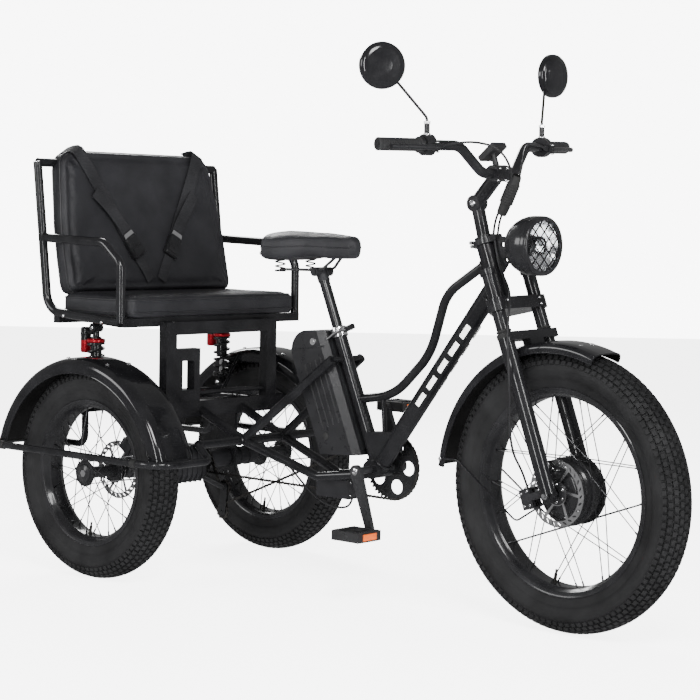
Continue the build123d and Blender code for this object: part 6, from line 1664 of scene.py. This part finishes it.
# Cables. Brake and lever cables in black sheaths, each held at both ends; those
# on the bar turn with it.
cable_skin = surface_finish("cable_skin", (0.006, 0.006, 0.0065), 0.42, grain=1500.0, relief=0.15)
lever_route = [
    (
        1.09, 0.212, 1.2005
    ), (1.104, 0.16, 1.21), (1.12, 0.104, 1.214), (1.15, 0.052, 1.2), (1.166, 0.02, 1.152),
    (1.158, 0.01, 1.098), (1.128, 0.0086, 1.056), (1.102, 0.0084, 1.018), (1.0986, 0.0084, 0.9814),
]
brake_route = [
    (
        1.1037, -0.0084, 0.9675
    ), (1.112, -0.01, 0.93), (1.13, -0.016, 0.892), (1.166, -0.034, 0.862), (1.204, -0.066, 0.834),
    (1.226, -0.098, 0.79), (
        1.234, -0.112, 0.735
    ), (1.24, -0.114, 0.675), (1.244, -0.114, 0.615), (1.244, -0.112, 0.555),
    (1.241, -0.108, 0.497), (1.238, -0.09, 0.444), (1.234, -0.062, 0.412), (1.235, -0.0476, 0.39), (
        1.2504, -0.0476, 0.3557
    ),
]
frame_route = [
    (
        0.297, 0, 0.3792
    ), (0.304, 0, 0.352), (0.345, 0, 0.334), (0.402, 0, 0.322), (0.44, 0, 0.288), (0.49, 0, 0.252),
    (0.545, 0, 0.229), (0.596, 0, 0.226), (0.626, 0, 0.236), (0.634, 0, 0.2577),
]
for name, route, body, turn, length in (
    ("cable_left", lever_route, "steering", steer_turn, 0.417),
    ("cable_right", [(x, -y, z) for x, y, z in lever_route], "steering", steer_turn, 0.417),
    ("cable_brake", brake_route, "steering", steer_turn, 0.701),
    ("cable_frame", frame_route, "chassis", plain, 0.404),
):
    curve = bpy.data.curves.new(f"{name}_sheath", "CURVE")
    curve.dimensions = "3D"
    curve.bevel_depth = 0.003
    curve.bevel_resolution = 3
    curve.resolution_u = 10
    curve.use_fill_caps = True
    spline = curve.splines.new("NURBS")
    spline.points.add(len(route) - 1)
    for point, spot in zip(spline.points, route):
        point.co = (*(turn @ here(*spot)), 1)
    spline.order_u = 3
    spline.use_endpoint_u = True
    sheath = bpy.data.objects.new(f"{name}_sheath", curve)
    sheath.data.materials.append(cable_skin)
    bpy.context.collection.objects.link(sheath)
    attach(sheath, body)
    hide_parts(name)

# Studio: a pale floor, a pale surround and large soft lamps. The camera stands
# ahead and to the right of the tricycle, low, with a long lens.
def lit_sheet(name, corners, strength):
    """Pale self-lit sheet of the studio, kept out of reflections."""
    mesh = bpy.data.meshes.new(name)
    mesh.from_pydata([tuple(corner) for corner in corners], [], [(0, 1, 2, 3)])
    paint = bpy.data.materials.new(f"pale_{name}")
    paint.use_nodes = True
    shader = paint.node_tree.nodes["Principled BSDF"]
    shader.inputs["Base Color"].default_value = (0.86, 0.86, 0.86, 1)
    shader.inputs["Roughness"].default_value = 0.9
    shader.inputs["Emission Color"].default_value = (1, 1, 1, 1)
    shader.inputs["Emission Strength"].default_value = strength
    mesh.materials.append(paint)
    sheet = bpy.data.objects.new(name, mesh)
    bpy.context.collection.objects.link(sheet)
    sheet.visible_glossy = False
    return sheet


camera_place = Vector((3.369451, -3.924, 1.018))
floor_half = 30.0
floor_corners = [(x * floor_half, y * floor_half, 0) for x, y in ((-1, -1), (1, -1), (1, 1), (-1, 1))]
lit_sheet("floor", floor_corners, 4.8)
wall_middle = Vector((camera_place.x, camera_place.y, 0)) + Vector((-0.6552, 0.7555, 0)) * 17.0
wall_side = Vector((0.7555, 0.6552, 0)) * 5.5
wall_foot = [wall_middle - wall_side, wall_middle + wall_side]
back_wall = lit_sheet("back_wall", wall_foot + [corner + upright * 6 for corner in wall_foot[::-1]], 6.0)
back_wall.visible_diffuse = False

surround = bpy.data.worlds.new("pale_surround")
surround.use_nodes = True
surround.node_tree.nodes["Background"].inputs["Color"].default_value = (1, 1, 1, 1)
surround.node_tree.nodes["Background"].inputs["Strength"].default_value = 0.35
bpy.context.scene.world = surround


def soft_lamp(name, place, aim, size, watts):
    """Square area lamp aimed at a point."""
    lamp = bpy.data.lights.new(name, "AREA")
    lamp.shape = "SQUARE"
    lamp.size = size
    lamp.energy = watts
    stand = bpy.data.objects.new(name, lamp)
    stand.location = place
    stand.rotation_euler = (Vector(aim) - Vector(place)).to_track_quat("-Z", "Y").to_euler()
    bpy.context.collection.objects.link(stand)


middle = (0, 0, 0.7)
soft_lamp("key_lamp", (2.6, -2.2, 3.4), middle, 1.3, 230)
soft_lamp("fill_lamp", (-2.4, -3.4, 2.0), middle, 1.5, 90)
soft_lamp("rim_lamp", (-3.0, 1.6, 2.8), middle, 1.4, 160)
for name, place in (("right_strip", (0.9, -3.6, 1.5)), ("front_strip", (3.6, -0.6, 1.5))):
    soft_lamp(name, place, middle, 0.22, 110)
    strip = bpy.data.lights[name]
    strip.shape = "RECTANGLE"
    strip.size_y = 2.4

camera_data = bpy.data.cameras.new("photo_camera")
camera_data.lens = 98.86
camera_data.sensor_width = 36.0
camera_data.shift_y = -0.0224
camera_data.clip_end = 100.0
camera = bpy.data.objects.new("photo_camera", camera_data)
camera_yaw = math.radians(40.93)
camera_pitch = math.radians(-3.48)
camera_roll = math.radians(1.07)
ahead = Vector(
    (
        -math.sin(camera_yaw) * math.cos(camera_pitch), math.cos(camera_yaw) * math.cos(camera_pitch),
        math.sin(camera_pitch)
    )
)
level_right = Vector((math.cos(camera_yaw), math.sin(camera_yaw), 0))
level_up = level_right.cross(ahead)
right = level_right * math.cos(camera_roll) + level_up * math.sin(camera_roll)
up = level_up * math.cos(camera_roll) - level_right * math.sin(camera_roll)
camera.matrix_world = Matrix.Translation(camera_place) @ Matrix((right, up, -ahead)).transposed().to_4x4()
bpy.context.collection.objects.link(camera)
bpy.context.scene.camera = camera
